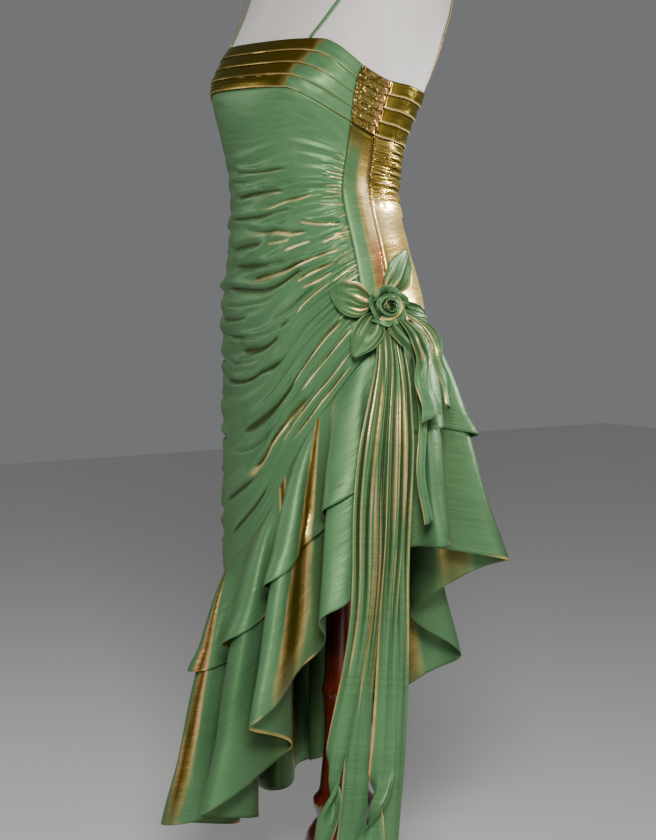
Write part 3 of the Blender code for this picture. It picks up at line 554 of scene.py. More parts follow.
GREEN = (0.076, 0.176, 0.078)
GREEN_DEEP = (0.039, 0.096, 0.040)
# Dark green of the painted shade in folds and troughs
GREEN_PAINTED_SHADE = (0.024, 0.036, 0.010)
GREEN_SHEEN = (0.42, 0.52, 0.20)
GOLD = (0.640, 0.420, 0.120)
# Dark gold of the painted shade in troughs and in the hollows of fine wrinkles
GOLD_PAINTED_SHADE = (0.095, 0.064, 0.006)
COPPER = (0.66, 0.27, 0.13)
# Pale gold of the painted glints
CREAM_PAINTED_GLINT = (0.98, 0.80, 0.44)


def shot_satin(name, crinkle, crinkle_turn, speckle=0.10):
    """Green satin shot with gold: the marks on the cloth say where gold, copper, hems, painted shade and
    painted glints show.
    """
    made, tree = new_material(name)
    uv = node_of(tree, "ShaderNodeUVMap", uv_map="cloth").outputs["UV"]
    gold, copper, hem, deep = (node_of(tree, "ShaderNodeAttribute", attribute_name=kind).outputs["Fac"]
                               for kind in CLOTH_MARKS)
    slub = grain(tree, uv, 420.0, 2.0, (0.05, 1.0, 1.0))
    sparkle = grain(tree, uv, 1100.0, 1.0)
    wrinkle = grain(tree, uv, 60.0, 3.0, (0.22, 1.0, 1.0), crinkle_turn)
    cloud = grain(tree, uv, 9.0, 2.0)
    ragged = sum_up(tree, "MULTIPLY_ADD", sparkle, speckle, -speckle * 0.5)
    drift = sum_up(tree, "MULTIPLY_ADD", cloud, 0.16, -0.08)
    tone = spread(tree, sum_up(tree, "ADD", sum_up(tree, "ADD", gold, ragged), drift), 0.10, 0.90)
    green = mix_colour(tree, spread(tree, slub, 0.25, 0.75, 0.35, 1.0), GREEN_DEEP, GREEN)
    green = mix_colour(tree, spread(tree, cloud, 0.30, 0.70, 0.0, 0.75), green, GREEN)
    # Painted shade: the deep mark darkens the green in folds and troughs
    green = mix_colour(tree, deep, green, GREEN_PAINTED_SHADE)
    # Gold darker in the hollows of the fine wrinkles that the bump raises, a painted shade
    metal = mix_colour(tree, spread(tree, wrinkle, 0.34, 0.66, 0.62, 1.0), GOLD_PAINTED_SHADE, GOLD)
    # Painted shade: the deep mark darkens the gold in folds and troughs
    metal = mix_colour(tree, deep, metal, GOLD_PAINTED_SHADE)
    metal = mix_colour(tree, spread(tree, sum_up(tree, "ADD", copper, ragged), 0.15, 0.95), metal, COPPER)
    # Painted glint: where the deep mark is below 0 the gold turns pale
    glint = sum_up(tree, "MULTIPLY", deep, -1.0, clamp=True)
    metal = mix_colour(tree, glint, metal, CREAM_PAINTED_GLINT)
    rolled = sum_up(tree, "MULTIPLY", hem, spread(tree, grain(tree, uv, 16.0, 1.0), 0.56, 0.68))
    return finished(made, {
        "Base Color": mix_colour(tree, rolled, mix_colour(tree, tone, green, metal), GOLD),
        # Less metal where a glint is painted, so the painted glint stays bright
        "Metallic": sum_up(tree, "SUBTRACT", spread(tree, tone, 0.0, 1.0, 0.22, 0.74),
                           sum_up(tree, "MULTIPLY", glint, 0.45), clamp=True),
        "Roughness": sum_up(tree, "SUBTRACT", spread(tree, slub, 0.2, 0.8, 0.38, 0.48),
                            spread(tree, tone, 0.0, 1.0, 0.0, 0.18)),
        "Specular IOR Level": 0.7,
        "Specular Tint": GREEN_SHEEN,
        "Sheen Weight": 0.03,
        "Sheen Roughness": 0.35,
        "Sheen Tint": (0.55, 0.62, 0.24),
        "Anisotropic": 0.35,
        "Normal": bumps(tree, (
            (wrinkle, crinkle, 0.0030), (slub, 0.30, 0.0004),
            (threads(tree, uv, "DIAGONAL", 520.0), 0.08, 0.0002), (hem, 0.35, 0.0010))),
    })


def form_cloth():
    """Off-white stretched jersey over padding, a little soiled and slubbed."""
    made, tree = new_material("form_jersey")
    where = node_of(tree, "ShaderNodeTexCoord").outputs["Object"]
    patch = grain(tree, where, 7.0, 3.0)
    fleck = grain(tree, where, 140.0, 2.0)
    base = mix_colour(tree, spread(tree, patch, 0.30, 0.72), (0.50, 0.46, 0.42), (0.62, 0.585, 0.545))
    return finished(made, {
        "Base Color": mix_colour(tree, spread(tree, fleck, 0.55, 0.80, 0.0, 0.35), base, (0.42, 0.38, 0.34)),
        "Roughness": spread(tree, fleck, 0.2, 0.8, 0.72, 0.90),
        "Sheen Weight": 0.15,
        "Normal": bumps(tree, (
            (patch, 0.10, 0.004), (threads(tree, where, "Z", 260.0, 1.2), 0.22, 0.0004),
            (threads(tree, where, "X", 300.0, 0.8), 0.16, 0.0004))),
    })


def mahogany():
    """Dark red-brown turned wood under polish, with long grain and fine pores."""
    made, tree = new_material("polished_mahogany")
    where = node_of(tree, "ShaderNodeTexCoord").outputs["Object"]
    figure = grain(tree, where, 26.0, 4.0, (1.0, 1.0, 0.10))
    pore = grain(tree, where, 320.0, 2.0, (1.0, 1.0, 0.05))
    wear = grain(tree, where, 11.0, 3.0)
    base = mix_colour(tree, spread(tree, figure, 0.34, 0.66), (0.030, 0.0035, 0.0018), (0.145, 0.020, 0.0075))
    base = mix_colour(tree, spread(tree, wear, 0.52, 0.80, 0.0, 0.45), base, (0.27, 0.062, 0.016))
    return finished(made, {
        "Base Color": mix_colour(tree, spread(tree, pore, 0.58, 0.74, 0.0, 0.6), base, (0.016, 0.002, 0.001)),
        "Roughness": spread(tree, wear, 0.3, 0.8, 0.17, 0.34),
        "Coat Weight": 0.55,
        "Coat Roughness": 0.10,
        "Normal": bumps(tree, ((pore, 0.12, 0.0004), (figure, 0.05, 0.001))),
    })


RUCHED_SATIN = shot_satin("satin_ruched", 0.34, 4.0)
TUCKED_SATIN = shot_satin("satin_tucked", 0.18, 0.0)
FLECKED_SATIN = shot_satin("satin_flecked", 0.40, 0.0, speckle=0.55)
CRINKLED_SATIN = shot_satin("satin_crinkled", 0.60, 0.0, speckle=0.75)
FLOUNCE_SATIN = shot_satin("satin_flounce", 0.22, 62.0)
TRIM_SATIN = shot_satin("satin_trimming", 0.16, 88.0)
JERSEY = form_cloth()
WOOD = mahogany()


# Making a piece

def placed(name, data):
    """New object in the scene."""
    made = bpy.data.objects.new(name, data)
    bpy.context.collection.objects.link(made)
    return made


def mesh_of(name, shape, finish):
    """New object from a modelled shape."""
    data = bpy.data.meshes.new(name)
    shape.to_mesh(data)
    shape.free()
    data.materials.append(finish)
    return placed(name, data)


def finish_piece(name, shape, finish, wall=0.0):
    """Turns a modelled shape into a piece that stands for its solid."""
    piece = mesh_of(name, shape, finish)
    piece.data.shade_smooth()
    piece.data.set_sharp_from_angle(angle=math.radians(SHARP_FOLD))
    if wall:
        solid = piece.modifiers.new("wall", "SOLIDIFY")
        solid.thickness = wall
        solid.offset = -1.0
        solid.use_rim = True
    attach(piece, "root")
    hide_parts(name)
    return piece


def cloth_marks(shape):
    """Layers for the UV map of the cut and for the marks that the satin reads."""
    return shape.loops.layers.uv.new("cloth"), [shape.verts.layers.float.new(kind) for kind in CLOTH_MARKS]


def turned_away(normal):
    """How much a face turns from the camera, the way that shows most green; gold painted from it is a painted
    sheen.
    """
    return 1.0 - ease(0.40, 0.66, abs(normal.dot(TOWARD_CAMERA)))


def satin_sheet(name, columns, rows, place, tone, finish, wall=SATIN, hem_at=None, core=None):
    """Sheet of satin: a flat grid bent by place(across, down), with a UV map of its cut in metres.

    tone(across, down, normal) gives gold, copper and how deep in shade the cloth lies, below 0 for a glint;
    hem_at(across, down) gives the distance to a hem.
    core is a point that the sheet faces away from, or None for the figure's axis.
    """
    cut = cut_of(name)
    shape = bmesh.new()
    bmesh.ops.create_grid(shape, x_segments=columns, y_segments=rows, size=0.5)
    uv, (gold, copper, hem, deep) = cloth_marks(shape)
    shape.verts.ensure_lookup_table()
    spots = [(vert.co.x + 0.5, 0.5 - vert.co.y) for vert in shape.verts]
    for vert, (across, down) in zip(shape.verts, spots):
        vert.co = place(across, down)
    for face in shape.faces:
        for loop in face.loops:
            across, down = spots[loop.vert.index]
            loop[uv].uv = (across * cut.width, down * cut.length)
    shape.normal_update()
    facing = sum(vert.normal.dot(vert.co - (core or Vector((0.0, FIGURE_MIDDLE, vert.co.z))))
                 for vert in shape.verts)
    if facing < 0:
        bmesh.ops.reverse_faces(shape, faces=shape.faces[:])
        shape.normal_update()
    for vert, (across, down) in zip(shape.verts, spots):
        vert[gold], vert[copper], vert[deep] = tone(across, down, vert.normal)
        if hem_at:
            vert[hem] = 1.0 - ease(*HEM_ROLL, hem_at(across, down))
    piece = finish_piece(name, shape, finish, wall)


def seam_dip(across, down, width, length):
    """How far cloth pulls in beside the seams at its edges."""
    to_edge = min(across * width, (1 - across) * width, down * length, (1 - down) * length)
    return SEAM_DIP * (1.0 - ease(0.0, SEAM_DIP_WIDTH, to_edge))


# Dress form and stand

def form_ring(part):
    """Height of a ring of the form and how far it stands out, with both ends of the form rounded."""
    if part < FORM_FOOT:
        share = part / FORM_FOOT
        return FORM_BOTTOM + FORM_ROUNDING * share ** 2, -FORM_ROUNDING * (1 - share) ** 1.5
    if part > 1 - FORM_HEAD:
        share = (1 - part) / FORM_HEAD
        return NECK_TOP - FORM_ROUNDING * share ** 2, -FORM_ROUNDING * (1 - share) ** 1.5
    share = (part - FORM_FOOT) / (1 - FORM_FOOT - FORM_HEAD)
    return blend(FORM_BOTTOM + FORM_ROUNDING, NECK_TOP - FORM_ROUNDING, share), 0.0


def form_torso():
    """Smooth limbless torso with its padded cover pulled in at the seams."""
    shape = bmesh.new()
    bmesh.ops.create_grid(shape, x_segments=120, y_segments=130, size=0.5)
    for vert in shape.verts:
        height, out = form_ring(vert.co.y + 0.5)
        angle = 360.0 * (vert.co.x + 0.5)
        middle = min(angle, abs(angle - 180), 360 - angle)
        side = min(abs(angle - 90), abs(angle - 270))
        groove = FORM_GROOVE * hump(middle, FORM_GROOVE_TURN) + 0.0006 * hump(side, FORM_GROOVE_TURN)
        neck_seam = FORM_GROOVE * hump(height - NECK_SEAM, 0.0035)
        vert.co = figure_point(angle, height, out - groove - neck_seam)
    bmesh.ops.remove_doubles(shape, verts=shape.verts[:], dist=1e-6)
    bmesh.ops.holes_fill(shape, edges=shape.edges[:], sides=0)
    bmesh.ops.recalc_face_normals(shape, faces=shape.faces[:])
    finish_piece("form_torso", shape, JERSEY)


def turned(name, profile, sharp):
    """Wooden piece turned round the column's axis; its steps larger than sharp stay straight."""
    def straight(start, end):
        return abs(start[1] - end[1]) > sharp or 0.0 in (start[1], end[1])

    spots = [np.array(spot) for spot in (profile[0], *profile, profile[-1])]
    shape = bmesh.new()
    line = [shape.verts.new((max(radius, 0.0), 0.0, height))
            for height, radius in rounded_line(spots, 5, straight)]
    edges = [shape.edges.new(pair) for pair in zip(line, line[1:])]
    bmesh.ops.spin(shape, geom=line + edges, cent=(0, 0, 0), axis=(0, 0, 1), angle=math.tau, steps=72,
                   use_merge=True)
    bmesh.ops.remove_doubles(shape, verts=shape.verts[:], dist=1e-5)
    bmesh.ops.recalc_face_normals(shape, faces=shape.faces[:])
    finish_piece(name, shape, WOOD)


# Band

def rear_seam(share):
    """Angle of the seam behind a side panel, a share of the way from the band to the flounces."""
    return lookup(REAR_SEAM, share)[0]


def band_seam(side, share):
    """Angle of the seam between a side piece of the band and its back piece."""
    return side * blend(SIDE_BACK_AT_BAND_TOP, rear_seam(0.0), share)


TUCK_SHAPE = ((0.00, 0.00), (0.12, 0.10), (0.35, 0.36), (0.60, 0.66), (0.80, 0.88), (0.90, 1.00),
              (0.955, 0.96), (0.985, 0.62), (0.975, 0.25))


def tucked_sheet(name, columns, tucks, edges, tone, finish, wobble, seed):
    """Panel of the band: each tuck slopes out and turns under at its lower fold."""
    steps = len(TUCK_SHAPE)
    rows = tucks * steps

    def place(across, down):
        row = round(down * rows)
        tuck, step = divmod(row, steps)
        part, stand = TUCK_SHAPE[step] if row < rows else (0.0, 0.1)
        share = (tuck + part) / tucks
        share += wobble * TUCK_WANDER * uneven(across * 5, tuck * 1.7, seed) * math.sin(math.pi * share)
        start, end = edges(share)
        angle = blend(start, end, across)
        height = blend(band_edge(BAND_TOP, angle), band_edge(BAND_BOTTOM, angle) + SEAM_GAP, share)
        lift = TUCK_STAND * stand * (1 + 0.35 * wobble * uneven(across * 9, row * 0.6, seed + 1))
        lift += TUCK_CRINKLE * wobble * uneven(across * 26, row * 0.45, seed + 2)
        dip = seam_dip(across, 0.5, cut_of(name).width, 1.0)
        return figure_point(angle, height, max(FACE + lift - dip, BAND_LEAST_OUT))

    satin_sheet(name, columns, rows, place, tone, finish)


def tuck_edge(down, tucks):
    """1 along the folded lower edge of each tuck."""
    part = down * tucks % 1.0
    return ease(0.50, 0.62, part) * ease(0.86, 0.74, part)


def band_tone(across, down, normal):
    """The band is cut across the grain; its front and back show gold and its sides green, painted by which way
    each face turns as a painted sheen of the shot cloth. Painted shade darkens the gold faces, and a painted
    glint runs along the tuck edges.
    """
    side = abs(normal.x) / max(math.hypot(normal.x, normal.y), 0.01)
    front = 1.0 - ease(0.34, 0.52, side - 0.18 * (1 - down))
    edge = tuck_edge(down, BAND_TUCKS)
    bright = 0.5 + 0.5 * uneven(across * 7, down * 4, 12.0)
    return max(front, 0.26 * edge), 0.15 * edge * front, blend(0.90 * front + 0.10, -0.6 * bright, edge)


def side_band_tone(across, down, normal):
    """Olive gold broken by flecks, brighter toward the rear seam; painted shade darkens all of it but the tuck
    edges and the bright rear flecks.
    """
    flecks = uneven(across * 5, down * 60, 3.0)
    edge = tuck_edge(down, SIDE_TUCKS)
    rear = ease(0.72, 1.0, across + 0.06 * uneven(down * 30, across * 8, 5.0))
    bright = max(0.45 * edge, 0.8 * rear * ease(0.0, 0.6, flecks))
    return max(0.62 + 0.3 * flecks + 0.2 * edge, rear), 0.25 + 0.30 * rear, blend(0.97, 0.1, bright)


def back_band_tone(across, down, normal):
    """All gold under painted shade, with painted glints for the bright edges of the tucks, and copper beside
    the side seam.
    """
    edge = tuck_edge(down, BAND_TUCKS)
    return 1.0, 0.25 * (1 - across) * edge, blend(1.0, -0.8, edge)


def band():
    front = SIDE_FRONT - SEAM_TURN
    tucked_sheet("band_front", 150, BAND_TUCKS, lambda share: (-front, front),
                 band_tone, TUCKED_SATIN, 0.6, 1.0)
    for name, side in (("left", 1), ("right", -1)):
        tucked_sheet("band_side_" + name, 30, SIDE_TUCKS, lambda share: (
            side * (SIDE_FRONT + SEAM_TURN), band_seam(side, share) - side * SEAM_TURN),
            side_band_tone, CRINKLED_SATIN, 2.2, 2.0 + side)
        tucked_sheet("band_back_" + name, 60, BAND_TUCKS, lambda share: (
            band_seam(side, share) + side * LEANING_SEAM_TURN, side * (180.0 - SEAM_TURN)),
            back_band_tone, TUCKED_SATIN, 0.9, 6.0 + side)


# Sheath

def fold_rows(ruches, plain_rows):
    """Rows of a ruched panel: a valley then a ridge for each fold, and plain rows below them."""
    before = Ruche(0.0, 0.0, 0.0, 0.0)
    rows = [before]
    for left, right, sag, stand in ruches:
        fold = Ruche(left / 1000, right / 1000, sag / 1000, stand / 10000)
        rows.append(Ruche((before.left + fold.left) / 2, (before.right + fold.right) / 2, fold.sag, 0.0))
        rows.append(fold)
        before = fold
    for number in range(1, plain_rows + 1):
        part = number / plain_rows
        rows.append(Ruche(blend(before.left, 1.0, part), blend(before.right, 1.0, part), 0.0, 0.0))
    return rows


def short_gathers(rows):
    """Short uneven creases where the cloth is pulled into a side seam."""
    made = []
    for row in rows:
        spread = random.Random(row.seed)
        for number in range(row.count):
            share = blend(row.first, row.last, (number + spread.uniform(-0.3, 0.3)) / (row.count - 1))
            length = row.longest * spread.uniform(0.25, 1.0)
            lean = spread.uniform(-0.012, 0.016)
            inner = abs(row.seam - length)
            path = ((inner, share + lean), (abs(row.seam - length / 2), share + lean / 3), (row.seam, share))
            gold = row.gold * spread.choice((0.0, 0.3, 0.7, 1.0))
            made.append(Crease(spread.uniform(0.0016, 0.0028), row.depth * spread.uniform(0.5, 1.1), gold,
                               path if row.seam == 0.0 else path[::-1]))
    return made


def drawn_creases(rows):
    """The creases of a table, with widths in metres and paths in shares."""
    return [Crease(width / 10000, depth / 10000, gold / 10,
                   tuple(zip((value / 1000 for value in path[::2]), (value / 1000 for value in path[1::2]))))
            for width, depth, gold, *path in rows]


def smooth_path(path, size):
    """Rounded line through a crease's points, in metres on the flat panel."""
    spots = [np.array((across * size[0], down * size[1])) for across, down in path]
    return rounded_line([spots[0] * 2 - spots[1], *spots, spots[-1] * 2 - spots[-2]], 4)


def crease_map(creases, size):
    """Relief, gold and glint over the flat panel: a trough, a full lip above it and a lower one below."""
    wide, deep = (round(side / CREASE_CELL) for side in size)
    cross, fall = np.meshgrid(np.linspace(0, size[0], wide + 1), np.linspace(0, size[1], deep + 1))
    relief, gold, glint = np.zeros_like(cross), np.zeros_like(cross), np.zeros_like(cross)
    low = fall / size[1]
    rightward = np.clip(1.30 - cross / size[0] / 0.55, 0.0, 1.0)
    for crease in creases:
        line = smooth_path(crease.path, size)
        nearest, beside, along = np.full_like(cross, 9.0), np.zeros_like(cross), np.zeros_like(cross)
        for number, (start, end) in enumerate(zip(line, line[1:])):
            step = end - start
            part = np.clip(((cross - start[0]) * step[0] + (fall - start[1]) * step[1]) / (step @ step), 0, 1)
            off_x, off_y = cross - start[0] - part * step[0], fall - start[1] - part * step[1]
            far = np.hypot(off_x, off_y)
            closer = far < nearest
            beside = np.where(closer, np.copysign(far, step[1] * off_x - step[0] * off_y), beside)
            along = np.where(closer, (number + part) / (len(line) - 1), along)
            nearest = np.where(closer, far, nearest)
        at_start = 0.0 if crease.path[0][0] < 0.99 else 1.0
        at_end = 0.0 if crease.path[-1][0] > 0.01 else 1.0
        taper = (np.clip(at_start + along / CREASE_TAPER, 0, 1)
                 * np.clip(at_end + (1 - along) / CREASE_TAPER, 0, 1))
        taper = taper * taper * (3 - 2 * taper)
        place = beside / crease.width
        relief += crease.depth * taper * (
            0.85 * hump(place + 1.35, 0.95) - hump(place, 0.5) + 0.42 * hump(place - 1.4, 1.0))
        lip = hump(place - 0.80, 0.32 + 0.38 * low) * rightward
        strength = np.minimum(1.3, 0.18 + crease.gold * (1.0 + 0.9 * low)) * taper ** 0.8
        gold = np.maximum(gold, strength * np.maximum(1.4 * lip, 0.35 * hump(place - 0.1, 0.40)))
        glint = np.maximum(glint, strength * lip)
    return relief, gold, glint


def sampled(chart, across, down):
    """Value of a map at shares across and down, blended between its cells."""
    rows, columns = chart.shape
    x, y = min(max(across, 0.0), 1.0) * (columns - 1), min(max(down, 0.0), 1.0) * (rows - 1)
    column, row = min(int(x), columns - 2), min(int(y), rows - 2)
    part = x - column
    return float(blend(blend(chart[row, column], chart[row, column + 1], part),
                       blend(chart[row + 1, column], chart[row + 1, column + 1], part), y - row))


def ruched_sheet(name, start, end, columns, table, charts, seed, tone):
    """Ruched panel: soft swells between its folds, with every crease of charts drawn on them.

    start(share) is the angle of its first seam, end that of its last; table holds its rows of folds.
    tone(across, share, relief, gilt, glint) gives gold, copper and how deep in shade the cloth lies.
    """
    last = len(table) - 1
    cut = cut_of(name)

    def fold_at(across, down):
        """Number of the fold, share of the way down the panel, and how far the fold stands out."""
        number = min(int(down * last), last - 1)
        part = down * last - number
        here, there = table[number], table[number + 1]
        share = blend(blend(here.left, there.left, part), blend(here.right, there.right, part), across)
        share += blend(here.sag, there.sag, part) * 4 * across * (1 - across)
        return number, share, blend(here.stand, there.stand, 0.5 - 0.5 * math.cos(math.pi * part))

    def place(across, down):
        number, share, stand = fold_at(across, down)
        spot = down * last
        to_seam = min(across, 1 - across)
        swell = 0.55 + 0.9 * uneven(across * 2.6, (number + 1) // 2 * 1.9, seed)
        ridge = stand * min(max(swell, 0.0), 1.1)
        ruched = ease(0.0, 4.0, spot) * ease(0.0, 0.10, 1 - down)
        ripple = PANEL_RIPPLE * uneven(across * 5.0, spot * 0.9, seed + 2)
        angle = blend(start(share), end, across)
        height = blend(band_edge(BAND_BOTTOM, angle), seam_line(angle), share)
        height -= PANEL_OVERHANG * ease(0.97, 1.0, share)
        out = ridge * min(1.0, 0.45 + to_seam * 8) + ripple
        out += sampled(charts[0], across, share) + RUCHED_FULLNESS * ruched
        out *= 0.10 + 0.90 * ease(0.0, 0.030, to_seam)
        dip = seam_dip(across, down, cut.width, cut.length)
        return figure_point(angle, height, max(FACE + out - dip, PANEL_LEAST_OUT))

    def shade(across, down, normal):
        share = fold_at(across, down)[1]
        return tone(across, share, *(sampled(chart, across, share) for chart in charts))

    satin_sheet(name, columns, last * FOLD_ROWS, place, shade, RUCHED_SATIN)


def front_tone(across, share, relief, gilt, glint):
    """Gold in the creases, most of it toward the left side seam, and a faint flecked line of painted sheen
    down the grain. Painted shade lies in the crease troughs and painted glints on their lower lips.
    """
    streak = gilt * (0.95 + 0.4 * uneven(across * 18, share * 16, 4.0))
    # A faint pale line of painted sheen down the panel, broken into flecks
    fleck = hump(across - 0.225, 0.024) * (0.17 + 0.08 * uneven(across * 90, share * 40, 6.0))
    broken = 0.35 + 0.65 * ease(-0.3, 0.5, uneven(across * 16, share * 10, 9.0))
    # Painted shade in the crease troughs, less a painted glint on their lower lips
    return (min(1.0, max(streak, fleck * ease(0.55, 0.30, share))), 0.10 * streak * ease(0.45, 0.0, across),
            ease(*TROUGH, -relief) - 1.7 * glint * broken)


def back_tone(across, share, relief, gilt, glint):
    """The back is cut across the grain and shows gold, most of it near the side seam. Painted shade fills the
    troughs and the upper back, painted glints run along the ridges near the side seam, and a painted highlight
    lies partway down beside the side seam.
    """
    near_seam = ease(0.5, 0.1, across)
    plain = 0.62 + 0.38 * ease(0.90, 0.25, across) * ease(0.80, 0.40, share)
    # Painted shade in the troughs and over the upper back
    dark = max(ease(*TROUGH, -relief), 0.85 * ease(0.34, 0.24, share))
    # A painted highlight partway down beside the side seam
    hip_highlight = 0.35 * ease(0.26, 0.36, share) * ease(0.62, 0.45, share) * near_seam
    return (max(plain, gilt), 0.30 * gilt + 0.12 * uneven(across * 5, share * 9, 3.0),
            blend(dark, -0.8, ease(0.0004, 0.0022, relief) * near_seam) - hip_highlight)


def side_tone(across, down, normal):
    """Grey-green at the front seam, gold then copper at the rear one. Painted shade darkens the upper half and
    the olive top, and a painted highlight lies across the middle toward the rear seam.
    """
    rear = ease(0.40, 0.66, across + 0.05 * uneven(down * 7, 0.0, 2.0))
    # A painted highlight across the middle, toward the rear seam
    cream_highlight = ease(0.14, 0.28, down) * ease(0.60, 0.46, down) * ease(0.55, 0.75, across)
    olive = ease(0.20, 0.02, down)
    rear = max(rear, 0.55 * olive)
    flecks = 0.5 + 0.5 * uneven(across * 22, down * 90, 5.0)
    copper = ease(0.50, 0.80, across) * ease(0.34, 0.55, down) * (0.45 + 0.5 * flecks)
    # Painted shade over the upper half and the olive top
    shade = max(0.30 * ease(0.5, 0.3, down) * (1 - cream_highlight), 0.95 * olive)
    return rear, copper, shade - 0.5 * cream_highlight


def side_sheet(name, side, rows):
    """Smooth panel under the arm."""
    cut = cut_of(name)

    def place(across, down):
        angle = side * blend(SIDE_FRONT + SEAM_TURN, rear_seam(down) - SEAM_TURN, across)
        height = blend(band_edge(BAND_BOTTOM, angle), seam_line(angle), down)
        soft = SIDE_SOFTNESS * uneven(across * 1.5, down * 5.0, 8.0 + side)
        return figure_point(angle, height, FACE + soft - seam_dip(across, down, cut.width, cut.length))

    satin_sheet(name, 22, rows, place, side_tone, FLECKED_SATIN)


def sheath():
    front = SIDE_FRONT - SEAM_TURN
    charts = crease_map(drawn_creases(FRONT_CREASES) + short_gathers(FRONT_GATHERS), FRONT_CHART)
    ruched_sheet("front_panel", lambda share: front, -front, 112, fold_rows(FRONT_RUCHES, 1), charts, 11.0,
                 front_tone)
    side_sheet("side_panel_left", 1, 70)
    side_sheet("side_panel_right", -1, 140)
    charts = crease_map(drawn_creases(BACK_CREASES) + short_gathers(BACK_GATHERS), BACK_CHART)
    for name, side, plain, seed in (("left", 1, 7, 17.0), ("right", -1, 9, 23.0)):
        ruched_sheet("back_panel_" + name, lambda share: side * (rear_seam(share) + SEAM_TURN),
                     side * (180.0 - SEAM_TURN), 66, fold_rows(BACK_RUCHES, plain), charts, seed, back_tone)


# Flounces

def flute_values(phase):
    """The row of FLUTES at a phase, which counts flutes from the first crest."""
    place = min(max(phase, 0.0), len(FLUTES) - 1.001)
    number = int(place)
    part = place - number
    soft = part * part * (3 - 2 * part)
    here, there = FLUTES[number], FLUTES[number + 1]
    eased = Flute(*(blend(one, other, soft) for one, other in zip(here, there)))
    return eased._replace(angle=blend(here.angle, there.angle, part))


def phase_of(angle):
    """Where an angle falls, counted in flutes from the first crest."""
    number = 0
    while FLUTES[number + 1].angle > angle:
        number += 1
    here, there = FLUTES[number].angle, FLUTES[number + 1].angle
    return number + (here - angle) / (here - there)


def flounce_surface(phase, fall, ripple=0.0):
    """Point on the fluted cloth, a fall below its seam."""
    flute = flute_values(phase)
    turn = math.tau * phase
    start = FLUTE_EASE ** FLUTE_GROWTH
    full = (FLUTE_REACH_AT + FLUTE_EASE) ** FLUTE_GROWTH - start
    reach = ((fall + FLUTE_EASE) ** FLUTE_GROWTH - start) / full
    curl = FLUTE_CURL * min(1.0, fall / CURL_FULL_AT)
    curled = flute_values(phase + curl * math.sin(2 * turn) / math.tau)
    height = seam_line(flute.angle) - FLOUNCE_GAP - fall
    soft = FLOUNCE_SOFTNESS * reach * uneven(phase * 4.0, fall * 14.0, 31.0)
    out = FLOUNCE_FACE + reach * (flute.flare + flute.throw * math.cos(turn)) + ripple + soft
    return figure_point(curled.angle, height, out)


def flounce_normal(phase, fall):
    """Direction out of the fluted cloth, level at its seam."""
    step, drop = 0.02, 0.004
    along = flounce_surface(phase + step, fall) - flounce_surface(phase - step, fall)
    down = flounce_surface(phase, fall + drop) - flounce_surface(phase, max(fall - drop, 0.0))
    true = along.cross(down).normalized()
    angle = flute_values(phase).angle
    level = figure_frame(angle, seam_line(angle))[1]
    share = min(1.0, fall / LEVEL_NEAR_SEAM)
    return (level * (1 - share) + true * share).normalized()


def flounce(name, start, end, lower):
    """One cut piece of a circular flounce with a rolled hem that curls."""
    first, last = phase_of(start), phase_of(end)
    top = LOWER_TOP if lower else 0.0

    def fall_at(phase, down):
        flute = flute_values(phase)
        return blend(top, flute.lower_fall if lower else flute.upper_fall, down)

    def place(across, down):
        phase = blend(first, last, across)
        fall = fall_at(phase, down)
        wave = 0.7 + math.sin(math.tau * (2.0 * phase + 0.13)) + 0.5 * uneven(phase * 3.1, 0.0, 5.0)
        inset = 0.0
        if lower:
            inset = blend(CLOTH + 0.0012, TIER_CLEAR, min(1.0, (fall - top) / TIER_CLEAR_FULL_AT))
        return (flounce_surface(phase, fall, ease(0.72, 1.0, down) * HEM_WAVE * wave)
                - flounce_normal(phase, fall) * inset)

    def to_hem(across, down):
        phase = blend(first, last, across)
        return fall_at(phase, 1.0) - fall_at(phase, down)

    def tone(across, down, normal):
        phase = blend(first, last, across)
        length = fall_at(phase, down) / flute_values(phase).lower_fall
        gold, copper = 0.0, 0.0
        # Painted shade in the valleys between the flutes, growing down from the seam
        valley = 0.5 - 0.5 * math.cos(math.tau * phase)
        shade = 0.60 * valley ** 1.5 * ease(0.0, 0.4, length)
        for stripe in STRIPES:
            centre = blend(stripe.top, stripe.hem, length) + 0.012 * uneven(length * 6, stripe.top, 3.0)
            beside = (phase - centre) / blend(stripe.narrow, stripe.wide, length)
            if abs(beside) < 1.6:
                here = stripe.gold * ease(1.5, 0.85, abs(beside))
                here *= ease(stripe.ends, stripe.ends * 0.55, length)
                gold = max(gold, here)
                copper = max(copper, here * stripe.copper * ease(0.5, 1.1, abs(beside)))
                # Each stripe takes painted shade in its middle and a painted glint along its edges
                middle = ease(1.0, 0.35, abs(beside - 0.1))
                shade = blend(shade, blend(-0.35, 0.92, middle), min(1.0, here * 1.5))
        return gold, copper, shade

    columns = round((last - first) * COLUMNS_PER_FLUTE)
    satin_sheet(name, columns, 64 if lower else 40, place, tone, FLOUNCE_SATIN, hem_at=to_hem)


def flounces():
    for tier, lower in (("upper", False), ("lower", True)):
        flounce("flounce_%s_front" % tier, FLOUNCE_LEFT_FRONT, FLOUNCE_RIGHT + SEAM_TURN, lower)
        flounce("flounce_%s_back" % tier, FLOUNCE_RIGHT - SEAM_TURN, FLOUNCE_LEFT_BACK, lower)


# Rose, knot, leaves and tails

def knot_frame():
    """Centre of the gathered knot and its away, side and up directions; side points to the back."""
    point, away = figure_frame(ROSE_ANGLE, ROSE_HEIGHT)
    return point + away * KNOT_OUT, away, Vector((-away.y, away.x, 0.0)), Vector((0, 0, 1))


